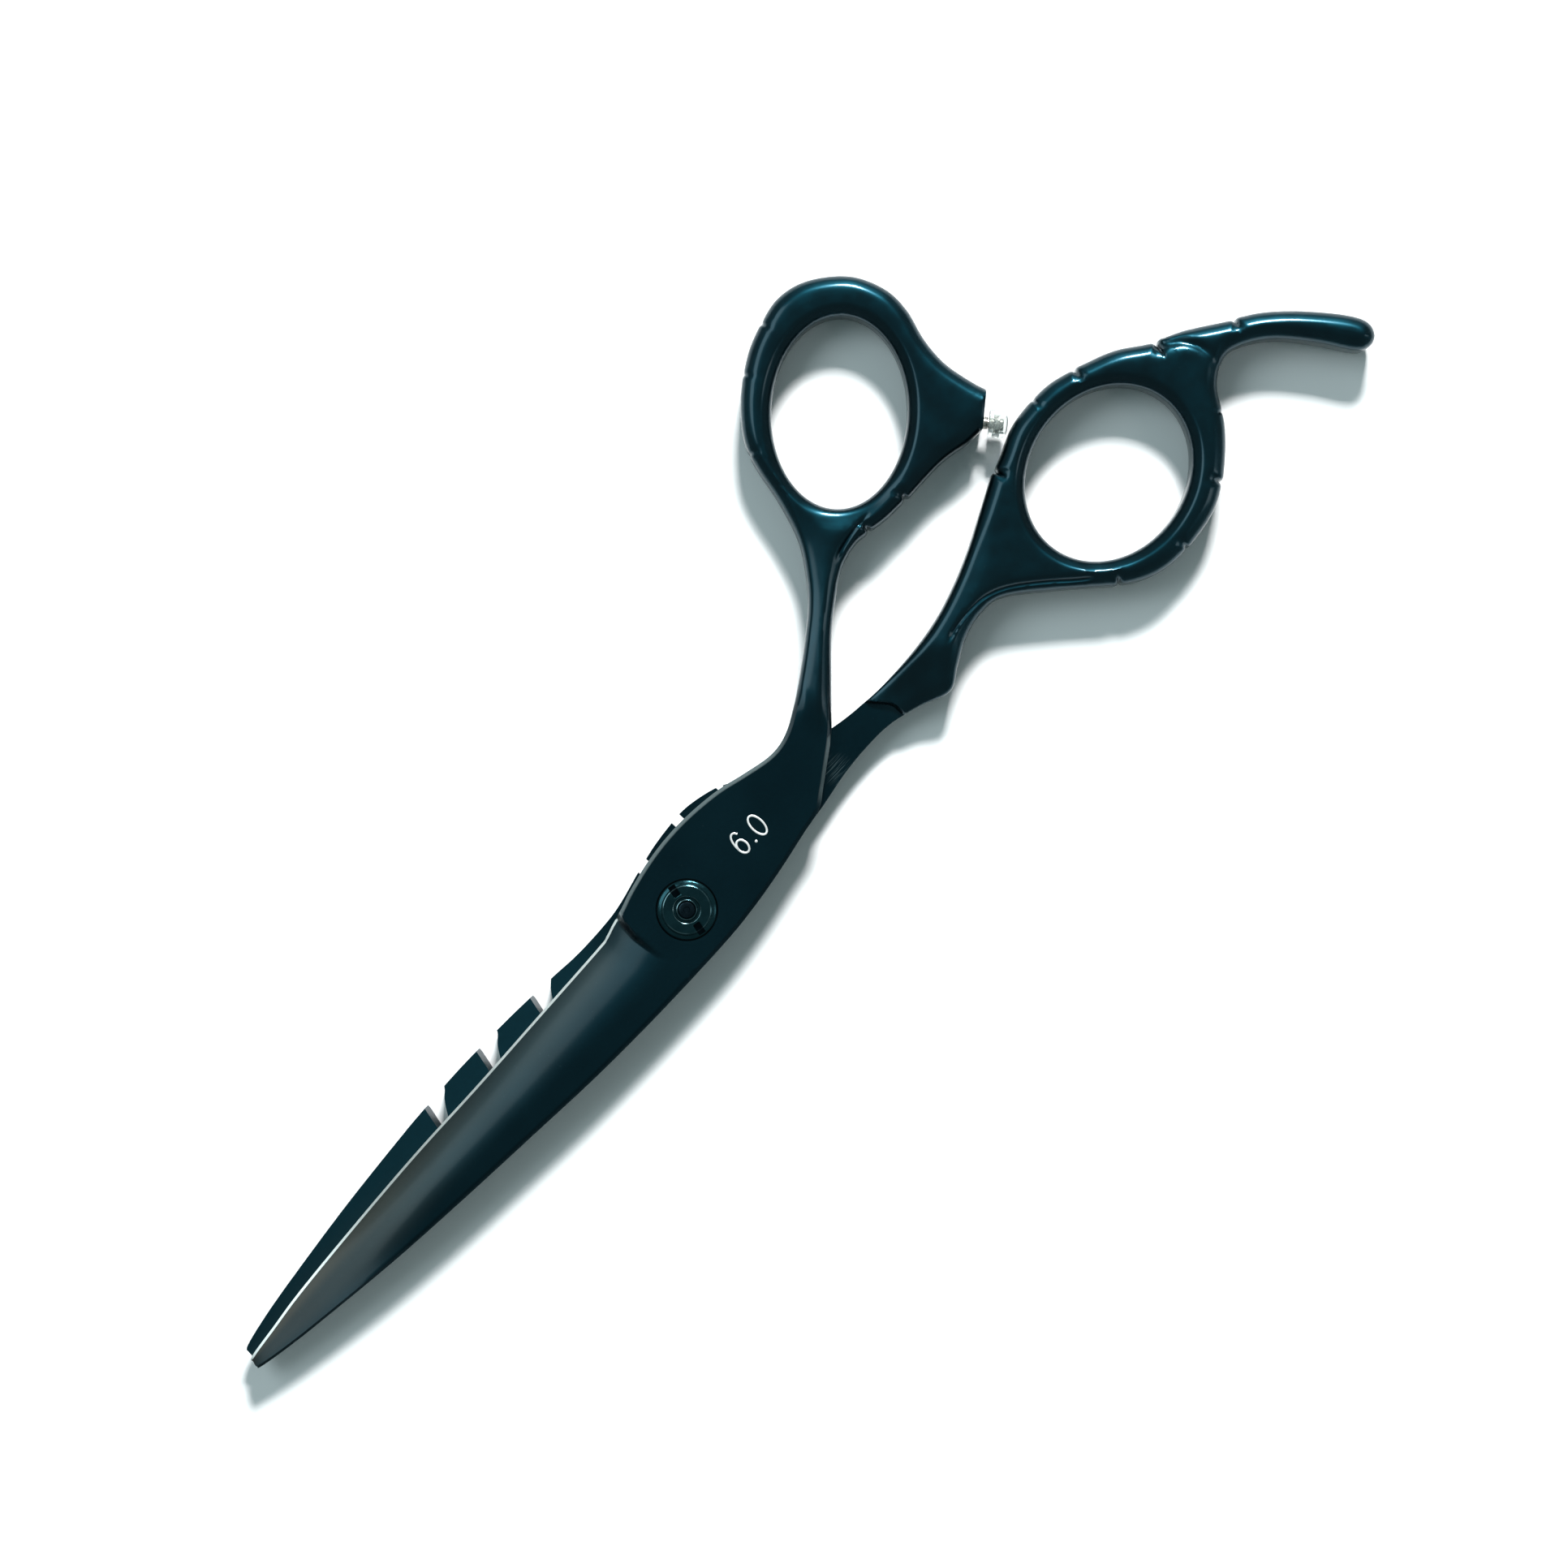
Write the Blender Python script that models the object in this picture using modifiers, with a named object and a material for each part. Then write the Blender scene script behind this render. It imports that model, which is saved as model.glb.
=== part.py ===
"""Thinning shears, 6.0 in, offset handle with a fixed finger rest.

The shears lie flat and closed. Z = 0 is the surface they rest on, the pivot axis is the Z axis,
-X runs to the blade tips and +X to the handles. The front half is the upper one, above the ride
plane, and carries the thumb ring on its +Y side. The rear half is the lower one, and carries the
toothed blade, the finger ring and the finger rest. Lengths below are in millimetres.
"""

import math

import bmesh
import bpy
from mathutils import Matrix, Vector

MM = 0.001

# Heights of the stack at the pivot.
RIDE = 3.0  # the plane in which the two halves meet
RIDE_GAP = 0.02  # from the ride plane to the inner face of each half
PLATE = 2.43  # thickness of each half around the pivot
HANDLE_HALF = 2.9  # half the thickness of the handles
TIP_THICKNESS = 0.9
EDGE_THICKNESS = 0.15
CHAMFER = 0.45
PLAY = 0.03  # between stacked flat faces

# Stations along X.
FRONT_TIP, REAR_TIP = -69.3, -68.9
PLUNGE = -6.4  # where the ground blade meets the flat pivot plate
PLUNGE_RUN = 0.5
FRONT_WELD, REAR_WELD = 24.0, 30.4  # where each blade is welded to its handle
WELD_GAP = 0.1

# Upper and lower borders of the blades and pivot plates, as (x, y).
FRONT_EDGE = [(-69.3, -0.2), (-68.9, 0.3), (-65, 0.85), (-60, 1.5), (-50, 2.3), (-40, 2.9), (-30, 3.2),
              (-20, 3.65), (-10, 4.1), (-8.5, 4.3), (-7, 4.75), (-5, 5.25), (-3, 5.9), (0, 6.6), (3, 7.05),
              (6, 7.2), (9, 7.05), (12, 6.65), (15, 5.9), (18, 5.25), (20, 5.25), (22, 5.85), (24, 6.95)]
FRONT_SPINE = [(-69.3, -0.9), (-68.9, -1.25), (-65, -1.95), (-60, -2.6), (-50, -3.7), (-40, -4.45),
               (-30, -5.05), (-20, -5.6), (-10, -5.75), (0, -5.55), (5, -5.15), (10, -4.4), (15, -3.4),
               (18, -2.8), (20, -1.5), (22, -0.1), (24, 1.3)]
REAR_SPINE = [(-68.9, 0.9), (-68.5, 1.45), (-65, 2.25), (-60, 3.05), (-50, 4.35), (-40, 5.3), (-35.5, 5.6),
              (-30, 5.85), (-22, 5.8), (-16, 5.5), (-12, 5.25), (-8, 5.35), (-5, 5.7), (-1, 6.7), (2, 7.4),
              (5, 7.8), (8, 7.9), (11.5, 7.15), (14, 6.0), (19, 4.2), (25.5, 2.4), (30.4, 1.75)]
REAR_EDGE = [(-68.9, 0.1), (-68.5, -0.1), (-65, -0.45), (-60, -0.95), (-50, -1.85), (-40, -2.55),
             (-30, -3.05), (-20, -3.4), (-10, -3.6), (-7, -4.2), (-4, -4.9), (0, -5.2), (5, -4.85),
             (10, -4.1), (15, -3.3), (18.4, -2.9), (23, -2.1), (27, -1.8), (30.4, -1.95)]

# Handle borders. Each runs once round its handle, from the weld and back to it.
FRONT_HANDLE = [(24.1, 7.0), (25, 7.55), (27, 8.9), (29, 10.3), (31, 11.8), (33, 13.4), (35.1, 15.6),
                (37.6, 19.2), (39.2, 23.7), (40.2, 28.1), (41.5, 31.4), (44.5, 34.8), (48.3, 37.5),
                (51.5, 38.8), (55.3, 39.6), (59, 38.6), (62.6, 35.6), (64.3, 31.8), (64.3, 28.4),
                (63.3, 24.8), (63.0, 21.3), (63.6, 17.8), (64.1, 16.1), (60.6, 13.35), (58.3, 13.45),
                (55, 14.0), (50, 14.0), (46, 14.1), (42.5, 14.8), (40, 14.7), (37, 13.3), (33, 9.9),
                (29, 5.95), (25.4, 2.4), (24.1, 1.4)]
REAR_HANDLE = [(30.5, 1.75), (34, 1.6), (38, 1.8), (42, 2.3), (46, 3.5), (50, 5.1), (54, 7.1), (57.4, 8.8),
               (60, 9.9), (63, 11.2), (66, 11.6), (69.5, 11.5), (73.5, 10.3), (77, 8.9), (80.5, 6.5),
               (84, 4.85), (88, 2.2), (91, 0.35), (94, -2.4), (97.3, -6.4), (98.6, -8.9), (98.1, -10.6),
               (96.7, -11.0), (95.3, -10.1), (93, -6.5), (90, -2.8), (87, -0.75), (84.6, -0.4),
               (82, -2.0), (79.5, -5.6), (76.3, -8.6), (72.5, -11.0), (68.5, -11.9), (64, -11.9),
               (60.6, -10.7), (57.7, -8.5), (53.5, -4.8), (49, -1.2), (46, -0.65), (43, -1.3),
               (40, -2.85), (37.4, -4.2), (34, -2.9), (30.5, -1.95)]
LOBE_CORNERS = [(64.1, 16.1), (60.6, 13.35)]  # the ends of the flat that carries the bumper
HANDLE_ROUNDING = 1.1

# Finger holes: centre, half axes and the long axis's turn from +X in degrees.
THUMB_HOLE = ((51.05, 26.2), (10.8, 7.7), 43.7)
FINGER_HOLE = ((66.8, 0.0), (10.25, 8.75), 1.7)

# Nicks in the handles' outer borders that mark off the grip's joints.
FRONT_NICKS = [(40.0, 29.9), (46.4, 36.6), (52.3, 39.3), (49.3, 13.6), (43.8, 14.2)]
REAR_NICKS = [(58.3, 9.4), (66.7, 11.9), (72.5, 10.9), (81.0, 6.6), (89.0, 1.7), (80.6, -4.6),
              (74.9, -9.8), (66.9, -12.3), (59.0, -9.9)]
NICK_RADIUS = 0.5

# Slots through the spine of the toothed blade: x of both walls where they leave the spine.
SPINE_SLOTS = [(-35.6, -32.8), (-27.15, -24.35), (-18.75, -15.9)]
SLOT_TOP, SLOT_FLOOR = 7.0, 1.6
SLOT_FRONT_LEAN = 0.75  # how far the wall on the tip side leans to the tip on its way down
SLOT_BACK_WALL = [(0.5, 7.0), (0.0, 5.7), (-0.9, 4.8), (-1.5, 4.0), (-2.05, 3.15)]  # offsets, and y
SLOT_FLOOR_RADIUS = 0.55
PLATE_SLOTS = [(-0.9, 0.8), (5.6, 6.9), (11.8, 12.5)]
PLATE_SLOT_FLOOR = 6.1

# Thinning teeth on the cutting edge of the toothed blade.
TOOTH_PITCH = 2.12
FIRST_GAP, LAST_GAP = -64.8, -14.0
GAP_WIDTH = 1.05
GAP_DEPTH_TIP, GAP_DEPTH_HEEL = 1.3, 3.0

# Pivot, as radii and heights.
HEAD_RADIUS, HEAD_SEAT_RADIUS, HEAD_TOP = 3.6, 3.72, 1.27
SHANK_RADIUS, SHANK_TOP = 1.9, 4.35
THREAD_RADIUS, THREAD_TOP = 0.92, 5.9
STUD_BORE = 1.96
WASHER_RADIUS, WASHER_RECESS, WASHER_THICKNESS = 4.7, 0.21, 0.40
BUSH_RADIUS, BUSH_BORE, BUSH_FLANGE = 2.66, 1.96, 3.2
BUSH_SEAT = 4.35
FLANGE_THICKNESS = 0.22
DIAL_SEAT_RADIUS = 3.45
FLAT_WASHER_THICKNESS = 0.2
SPRING_THICKNESS, SPRING_RISE = 0.16, 0.14
DIAL_RADIUS, DIAL_FLAT_RADIUS, DIAL_TOP = 3.28, 2.72, 5.86
DIAL_COLLAR_RADIUS, DIAL_COLLAR_TOP = 1.35, 6.0
DIAL_BORE = 0.98
DIAL_SLOT_WIDTH, DIAL_SLOT_DEPTH = 0.75, 0.34
DIAL_SLOT_TURN = 78.0  # degrees from +X

# Bumper, measured outwards from the lobe's flat along the bumper's axis.
BUMPER_BASE = (61.3, 13.9)
BUMPER_TURN = -51.9  # degrees from +X
STEM_RADIUS, STEM_INSIDE = 0.68, 3.0
STEM_HOLE_RADIUS, STEM_HOLE_DEPTH = 0.74, 3.8
COLLAR_RADIUS, COLLAR_START, COLLAR_END, STUB_END = 1.05, 1.2, 1.9, 2.2
PAD_RADIUS, PAD_START, PAD_END = 1.55, 0.7, 2.8
PAD_CLEARANCE = 0.06

TURNED_STEPS = 40
HOLE_POINTS = 56
CUT_REACH = 20.0  # how far a cutter reaches past what it cuts


def clear_scene():
    for found in list(bpy.data.objects):
        bpy.data.objects.remove(found, do_unlink=True)


def collection(name):
    made = bpy.data.collections.new(name)
    bpy.context.scene.collection.children.link(made)
    return made


def finish(name, colour, roughness, metallic):
    """A plain Principled material."""
    made = bpy.data.materials.new(name)
    made.use_nodes = True
    shader = made.node_tree.nodes["Principled BSDF"]
    shader.inputs["Base Color"].default_value = (*colour, 1.0)
    shader.inputs["Roughness"].default_value = roughness
    shader.inputs["Metallic"].default_value = metallic
    return made


def metres(*values):
    return tuple(value * MM for value in values)


def smoothed(points, steps=3, corners=()):
    """Points along a Catmull-Rom curve through the given ones, straight into each corner."""
    ends = [Vector(p) for p in (points[0], *points, points[-1])]
    corners = {Vector(c).to_tuple(4) for c in corners}
    made = []
    for before, start, end, after in zip(ends, ends[1:], ends[2:], ends[3:]):
        if start.to_tuple(4) in corners:
            before = start
        if end.to_tuple(4) in corners:
            after = end
        for step in range(steps):
            t = step / steps
            made.append(0.5 * (2 * start + (end - before) * t + (2 * before - 5 * start + 4 * end - after) * t**2
                               + (3 * start - before - 3 * end + after) * t**3))
    return [*made, ends[-1]]


def border_at(points, x):
    """The y of a border at station x."""
    line = smoothed(points, steps=6)
    for start, end in zip(line, line[1:]):
        if start.x <= x <= end.x:
            return start.y + (end.y - start.y) * (x - start.x) / max(end.x - start.x, 1e-9)
    return line[-1].y


def ellipse(centre, half_axes, turn, points=HOLE_POINTS):
    spin = Matrix.Rotation(math.radians(turn), 2)
    around = (math.tau * i / points for i in range(points))
    return [Vector(centre) + spin @ Vector((half_axes[0] * math.cos(a), half_axes[1] * math.sin(a)))
            for a in around]


def add_object(name, data, group, material=None, cutter=False):
    made = bpy.data.objects.new(name, data)
    group.objects.link(made)
    if material:
        data.materials.append(material)
    if cutter:
        made.hide_render = True
        made.display_type = "WIRE"
    return made


def mesh_from(name, build, group, material=None, cutter=False):
    """An object whose mesh is what build(bm) makes, with its faces turned outwards."""
    data = bpy.data.meshes.new(name)
    bm = bmesh.new()
    build(bm)
    bmesh.ops.recalc_face_normals(bm, faces=bm.faces)
    bm.to_mesh(data)
    bm.free()
    return add_object(name, data, group, material, cutter)


def flat_solid(name, outlines, low, high, group, material=None, rounding=0.0, cutter=False):
    """A mesh from flat outlines, standing from low to high, with its rims rounded inside the outline."""
    data = bpy.data.curves.new(name, "CURVE")
    data.dimensions = "2D"
    data.fill_mode = "BOTH"
    data.extrude = ((high - low) / 2 - rounding) * MM
    data.bevel_depth = rounding * MM
    data.bevel_resolution = 1
    data.offset = -rounding * MM
    for outline in outlines:
        spline = data.splines.new("POLY")
        spline.points.add(len(outline) - 1)
        for point, place in zip(spline.points, outline):
            point.co = (*metres(place[0], place[1]), 0.0, 1.0)
        spline.use_cyclic_u = True
    curve = bpy.data.objects.new(name + "_outline", data)
    curve.location.z = (low + high) / 2 * MM
    group.objects.link(curve)
    bpy.context.view_layer.update()
    mesh = bpy.data.meshes.new_from_object(curve.evaluated_get(bpy.context.evaluated_depsgraph_get()))
    bm = bmesh.new()
    bm.from_mesh(mesh)
    bmesh.ops.remove_doubles(bm, verts=bm.verts, dist=1e-6)
    bmesh.ops.recalc_face_normals(bm, faces=bm.faces)
    bm.to_mesh(mesh)
    bm.free()
    made = add_object(name, mesh, group, material, cutter)
    made.matrix_world = curve.matrix_world.copy()
    bpy.data.objects.remove(curve)
    return made


def turned(name, profile, group, material, steps=TURNED_STEPS):
    """A ring or pin turned about its own Z axis from a closed profile of (radius, height)."""
    data = bpy.data.meshes.new(name)
    count = len(profile)
    on_axis = [i for i, (radius, _) in enumerate(profile) if radius == 0]
    links = [(i, (i + 1) % count) for i in range(count)]
    links = [pair for pair in links if not (pair[0] in on_axis and pair[1] in on_axis)]
    data.from_pydata([metres(radius, 0, height) for radius, height in profile], links, [])
    made = add_object(name, data, group, material)
    screw = made.modifiers.new("turn", "SCREW")
    screw.axis = "Z"
    screw.steps = screw.render_steps = steps
    screw.use_merge_vertices = True
    screw.merge_threshold = 1e-6
    return made


def cylinder(name, radius, low, high, group, at=(0, 0), sides=TURNED_STEPS):
    """An upright round cutter."""
    def build(bm):
        place = Matrix.Translation(metres(at[0], at[1], (low + high) / 2))
        bmesh.ops.create_cone(bm, cap_ends=True, segments=sides, radius1=radius * MM, radius2=radius * MM,
                              depth=(high - low) * MM, matrix=place)
    return mesh_from(name, build, group, cutter=True)


def cut(target, *cutters):
    for cutter in cutters:
        boolean = target.modifiers.new(cutter.name, "BOOLEAN")
        boolean.operation = "DIFFERENCE"
        boolean.object = cutter


def thickness_at(x):
    """Thickness of a half at its spine, from the tip back to the pivot plate."""
    share = min(1.0, (x - FRONT_TIP) / 36.0)
    return TIP_THICKNESS + (PLATE - TIP_THICKNESS) * math.sin(math.pi / 2 * max(share, 0.0)) ** 0.8


def section(x, edge, spine, heel):
    """Points of a half at station x as (y, height above the inner face), from the cutting edge to the
    spine. The ground blade is convex and thins to its edge; the pivot plate is flat with chamfers."""
    thick = thickness_at(x)
    width = spine - edge
    side = math.copysign(1.0, width)
    chamfer = min(CHAMFER, abs(width) / 4, thick / 2)
    flat = min(1.0, max(0.0, (x - heel) / PLUNGE_RUN))
    made = [(edge, 0.0), (edge, EDGE_THICKNESS + flat * (thick - chamfer - EDGE_THICKNESS))]
    for share in (0.08, 0.2, 0.36, 0.56):
        ground = EDGE_THICKNESS + (thick - EDGE_THICKNESS) * (1 - (1 - share / 0.72) ** 2)
        y = edge + width * share
        if share == 0.08:
            y += flat * (edge + side * chamfer - y)
        made.append((y, ground + flat * (thick - ground)))
    made += [(spine - side * chamfer, thick), (spine, thick - chamfer), (spine, 0.0)]
    return made


def blade_blank(name, edge_line, spine_line, stations, up, group, material):
    """A half's blade and pivot plate, lofted through its stations. up is 1 above the ride plane, -1 below."""
    def build(bm):
        rows = []
        for x in stations:
            points = section(x, border_at(edge_line, x), border_at(spine_line, x), PLUNGE)
            rows.append([bm.verts.new(metres(x, y, RIDE + up * (RIDE_GAP + height))) for y, height in points])
        for row, following in zip(rows, rows[1:]):
            for i in range(len(row)):
                j = (i + 1) % len(row)
                bm.faces.new((row[i], row[j], following[j], following[i]))
        bm.faces.new(rows[0])
        bm.faces.new(rows[-1])
    return mesh_from(name, build, group, material)


def stations(tip, weld):
    """Stations from tip to weld: close at the point and at the plunge, even in between."""
    near_tip = [tip, tip + 0.4, tip + 1.6]
    blade = [-66 + 4.95 * i for i in range(12)]
    plunge = [-9.5, -8.2, PLUNGE, PLUNGE + PLUNGE_RUN]
    plate = [-4.5 + 1.5 * i for i in range(24) if -4.5 + 1.5 * i < weld - 0.8]
    return [*near_tip, *blade, *plunge, *plate, weld]


def slot_outline(front, back):
    """A spine slot: both walls lean to the tip, the back one curved, and it ends in a round floor."""
    radius = SLOT_FLOOR_RADIUS
    centre = (front - SLOT_FRONT_LEAN + radius - 0.1, SLOT_FLOOR + radius)
    arc = [(centre[0] - radius * math.cos(a), centre[1] - radius * math.sin(a))
           for a in (math.pi * i / 6 for i in range(7))]
    back_wall = [(back + offset, y) for offset, y in reversed(SLOT_BACK_WALL)]
    return [(front + 0.25, SLOT_TOP), *arc, *back_wall]


def plate_slot_outline(left, right, floor):
    corner = min(0.3, (right - left) / 3)
    return [(left, SLOT_TOP + 2), (left, floor + corner), (left + corner, floor), (right - corner, floor),
            (right, floor + corner), (right, SLOT_TOP + 2)]


def tooth_gap_outline(x):
    """A round-ended gap cut up from the edge, deeper towards the heel, leaning a little to the tip."""
    share = (x - FIRST_GAP) / (LAST_GAP - FIRST_GAP)
    depth = GAP_DEPTH_TIP + (GAP_DEPTH_HEEL - GAP_DEPTH_TIP) * min(1.0, 1.8 * share)
    radius = GAP_WIDTH / 2
    top = border_at(REAR_EDGE, x) + depth - radius
    arc = [(x + radius * math.cos(a), top + radius * math.sin(a)) for a in (math.pi * i / 5 for i in range(6))]
    return [(x + radius, top - depth - 2), *arc, (x - radius, top - depth - 2)]


def make_front_blade(parts, cutters, steel):
    blade = blade_blank("front_blade", FRONT_EDGE, FRONT_SPINE, stations(FRONT_TIP, FRONT_WELD), 1, parts, steel)
    cut(blade,
        cylinder("front_bore", BUSH_RADIUS + 0.06, RIDE - 1, RIDE + CUT_REACH, cutters),
        cylinder("dial_seat", DIAL_SEAT_RADIUS, BUSH_SEAT, BUSH_SEAT + CUT_REACH, cutters),
        cylinder("front_washer_recess", WASHER_RADIUS + 0.15, RIDE - 1, RIDE + WASHER_RECESS + RIDE_GAP, cutters))
    return blade


def make_rear_blade(parts, cutters, steel):
    blade = blade_blank("rear_blade", REAR_EDGE, REAR_SPINE, stations(REAR_TIP, REAR_WELD), -1, parts, steel)
    slots = [slot_outline(front, back) for front, back in SPINE_SLOTS]
    slots += [plate_slot_outline(left, right, PLATE_SLOT_FLOOR) for left, right in PLATE_SLOTS]
    gaps = round((LAST_GAP - FIRST_GAP) / TOOTH_PITCH) + 1
    teeth = [tooth_gap_outline(FIRST_GAP + TOOTH_PITCH * i) for i in range(gaps)]
    cut(blade,
        flat_solid("spine_slots", slots, -2, RIDE + 2, cutters, cutter=True),
        flat_solid("tooth_gaps", teeth, -2, RIDE + 2, cutters, cutter=True),
        cylinder("stud_bore", STUD_BORE, -2, RIDE + 2, cutters),
        cylinder("head_seat", HEAD_SEAT_RADIUS, -CUT_REACH, HEAD_TOP + PLAY, cutters),
        cylinder("rear_washer_recess", WASHER_RADIUS + 0.15, RIDE - WASHER_RECESS - RIDE_GAP, RIDE + 1, cutters))
    return blade


def nick_cutters(name, places, group):
    """Upright round cutters that nick a handle's border."""
    def build(bm):
        for x, y in places:
            bmesh.ops.create_cone(bm, cap_ends=True, segments=12, radius1=NICK_RADIUS * MM,
                                  radius2=NICK_RADIUS * MM, depth=CUT_REACH * MM,
                                  matrix=Matrix.Translation(metres(x, y, RIDE)))
    return mesh_from(name, build, group, cutter=True)


def step_cutter(group):
    """Cuts the front handle's underside back to the ride plane where the rear half passes below it."""
    def build(bm):
        place = (Matrix.Translation(metres(25.6, 4.4, RIDE + RIDE_GAP - CUT_REACH / 2))
                 @ Matrix.Rotation(math.radians(44), 4, "Z")
                 @ Matrix.Diagonal((*metres(7.0, 14.0, CUT_REACH), 1.0)))
        bmesh.ops.create_cube(bm, size=1.0, matrix=place)
    return mesh_from("front_step", build, group, cutter=True)


def bumper_frame():
    """Turns a piece's own +Z into the bumper's axis and sets it on the lobe's flat."""
    place = Matrix.Translation(metres(*BUMPER_BASE, RIDE))
    return place @ Matrix.Rotation(math.radians(BUMPER_TURN), 4, "Z") @ Matrix.Rotation(math.radians(90), 4, "Y")


def bumper_hole(group):
    def build(bm):
        place = bumper_frame() @ Matrix.Translation(metres(0, 0, 1 - STEM_HOLE_DEPTH / 2))
        bmesh.ops.create_cone(bm, cap_ends=True, segments=16, radius1=STEM_HOLE_RADIUS * MM,
                              radius2=STEM_HOLE_RADIUS * MM, depth=(STEM_HOLE_DEPTH + 2) * MM, matrix=place)
    return mesh_from("bumper_hole", build, group, cutter=True)


def make_front_handle(parts, cutters, steel):
    outlines = [smoothed(FRONT_HANDLE, corners=LOBE_CORNERS), ellipse(*THUMB_HOLE)]
    handle = flat_solid("front_handle", outlines, RIDE - HANDLE_HALF, RIDE + HANDLE_HALF, parts, steel,
                        rounding=HANDLE_ROUNDING)
    cut(handle, nick_cutters("front_nicks", FRONT_NICKS, cutters), step_cutter(cutters), bumper_hole(cutters))
    return handle


def make_rear_handle(parts, cutters, steel):
    outlines = [smoothed(REAR_HANDLE), ellipse(*FINGER_HOLE)]
    handle = flat_solid("rear_handle", outlines, RIDE - HANDLE_HALF, RIDE + HANDLE_HALF, parts, steel,
                        rounding=HANDLE_ROUNDING)
    cut(handle, nick_cutters("rear_nicks", REAR_NICKS, cutters))
    return handle


def make_pivot(parts, cutters, steel, bright, nylon):
    """The stud, the two bearings and the stack under the tension dial."""
    turned("pivot_stud", [(0, THREAD_TOP), (THREAD_RADIUS - 0.15, THREAD_TOP), (THREAD_RADIUS, THREAD_TOP - 0.15),
                          (THREAD_RADIUS, SHANK_TOP), (SHANK_RADIUS, SHANK_TOP), (SHANK_RADIUS, HEAD_TOP),
                          (HEAD_RADIUS, HEAD_TOP), (HEAD_RADIUS, 0.3), (HEAD_RADIUS - 0.3, 0), (0, 0)],
           parts, bright)
    half = WASHER_THICKNESS / 2
    turned("thrust_washer", [(STUD_BORE, RIDE + half), (WASHER_RADIUS, RIDE + half), (WASHER_RADIUS, RIDE - half),
                             (STUD_BORE, RIDE - half)], parts, nylon)
    flange_low = BUSH_SEAT + PLAY
    flange_top = flange_low + FLANGE_THICKNESS
    bush_low = RIDE + WASHER_RECESS + RIDE_GAP + PLAY
    turned("pivot_bush", [(BUSH_BORE, flange_top), (BUSH_FLANGE, flange_top), (BUSH_FLANGE, flange_low),
                          (BUSH_RADIUS, flange_low), (BUSH_RADIUS, bush_low), (BUSH_BORE, bush_low)], parts, nylon)
    washer_low = flange_top + PLAY
    washer_top = washer_low + FLAT_WASHER_THICKNESS
    turned("flat_washer", [(DIAL_BORE + 0.1, washer_top), (BUSH_FLANGE, washer_top), (BUSH_FLANGE, washer_low),
                           (DIAL_BORE + 0.1, washer_low)], parts, bright)
    spring_low = washer_top + PLAY
    turned("spring_washer", [(DIAL_BORE + 0.15, spring_low + SPRING_RISE + SPRING_THICKNESS),
                             (BUSH_FLANGE - 0.1, spring_low + SPRING_THICKNESS), (BUSH_FLANGE - 0.1, spring_low),
                             (DIAL_BORE + 0.15, spring_low + SPRING_RISE)], parts, bright)
    dial_low = spring_low + SPRING_RISE + SPRING_THICKNESS + PLAY
    dial = turned("tension_dial", [(DIAL_BORE, DIAL_COLLAR_TOP), (DIAL_COLLAR_RADIUS - 0.06, DIAL_COLLAR_TOP),
                                   (DIAL_COLLAR_RADIUS, DIAL_COLLAR_TOP - 0.06), (DIAL_COLLAR_RADIUS, DIAL_TOP),
                                   (DIAL_FLAT_RADIUS, DIAL_TOP), (DIAL_RADIUS, DIAL_TOP - 0.35),
                                   (DIAL_RADIUS, dial_low), (DIAL_BORE, dial_low)], parts, steel)

    def build(bm):
        spin = Matrix.Rotation(math.radians(DIAL_SLOT_TURN), 4, "Z")
        for side in (-1, 1):
            reach = 3.0
            place = spin @ Matrix.Translation(metres(side * (DIAL_COLLAR_RADIUS + 0.1 + reach / 2), 0,
                                                     DIAL_TOP - DIAL_SLOT_DEPTH + 1))
            size = Matrix.Diagonal((*metres(reach, DIAL_SLOT_WIDTH, 2.0), 1.0))
            bmesh.ops.create_cube(bm, size=1.0, matrix=place @ size)
    cut(dial, mesh_from("dial_slots", build, cutters, cutter=True))


def make_bumper(parts, bright, silicone):
    """The stop that meets the finger ring: a collared screw in the lobe and the soft pad on it."""
    neck = COLLAR_RADIUS + PAD_CLEARANCE
    screw = turned("bumper_screw", [(0, STUB_END), (STEM_RADIUS, STUB_END), (STEM_RADIUS, COLLAR_END),
                                    (COLLAR_RADIUS, COLLAR_END), (COLLAR_RADIUS, COLLAR_START),
                                    (STEM_RADIUS, COLLAR_START), (STEM_RADIUS, -STEM_INSIDE), (0, -STEM_INSIDE)],
                   parts, bright, steps=24)
    inner = STEM_RADIUS + PAD_CLEARANCE
    low, high = COLLAR_START - PAD_CLEARANCE, COLLAR_END + PAD_CLEARANCE
    pad = turned("bumper_pad", [(0, PAD_END), (PAD_RADIUS - 0.7, PAD_END), (PAD_RADIUS, PAD_END - 0.45),
                                (PAD_RADIUS, PAD_START), (inner, PAD_START), (inner, low), (neck, low),
                                (neck, high), (inner, high), (inner, STUB_END + PAD_CLEARANCE),
                                (0, STUB_END + PAD_CLEARANCE)], parts, silicone, steps=24)
    for piece in (screw, pad):
        piece.matrix_world = bumper_frame()


def main():
    clear_scene()
    parts = collection("thinning_shears")
    cutters = collection("cutters")
    steel = finish("coated_steel", (0.012, 0.035, 0.045), 0.35, 0.6)
    bright = finish("bright_steel", (0.62, 0.62, 0.6), 0.3, 1.0)
    nylon = finish("nylon", (0.82, 0.8, 0.74), 0.5, 0.0)
    silicone = finish("silicone", (0.85, 0.9, 0.86), 0.3, 0.0)
    make_front_blade(parts, cutters, steel)
    make_rear_blade(parts, cutters, steel)
    make_front_handle(parts, cutters, steel)
    make_rear_handle(parts, cutters, steel)
    make_pivot(parts, cutters, steel, bright, nylon)
    make_bumper(parts, bright, silicone)


main()
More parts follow.
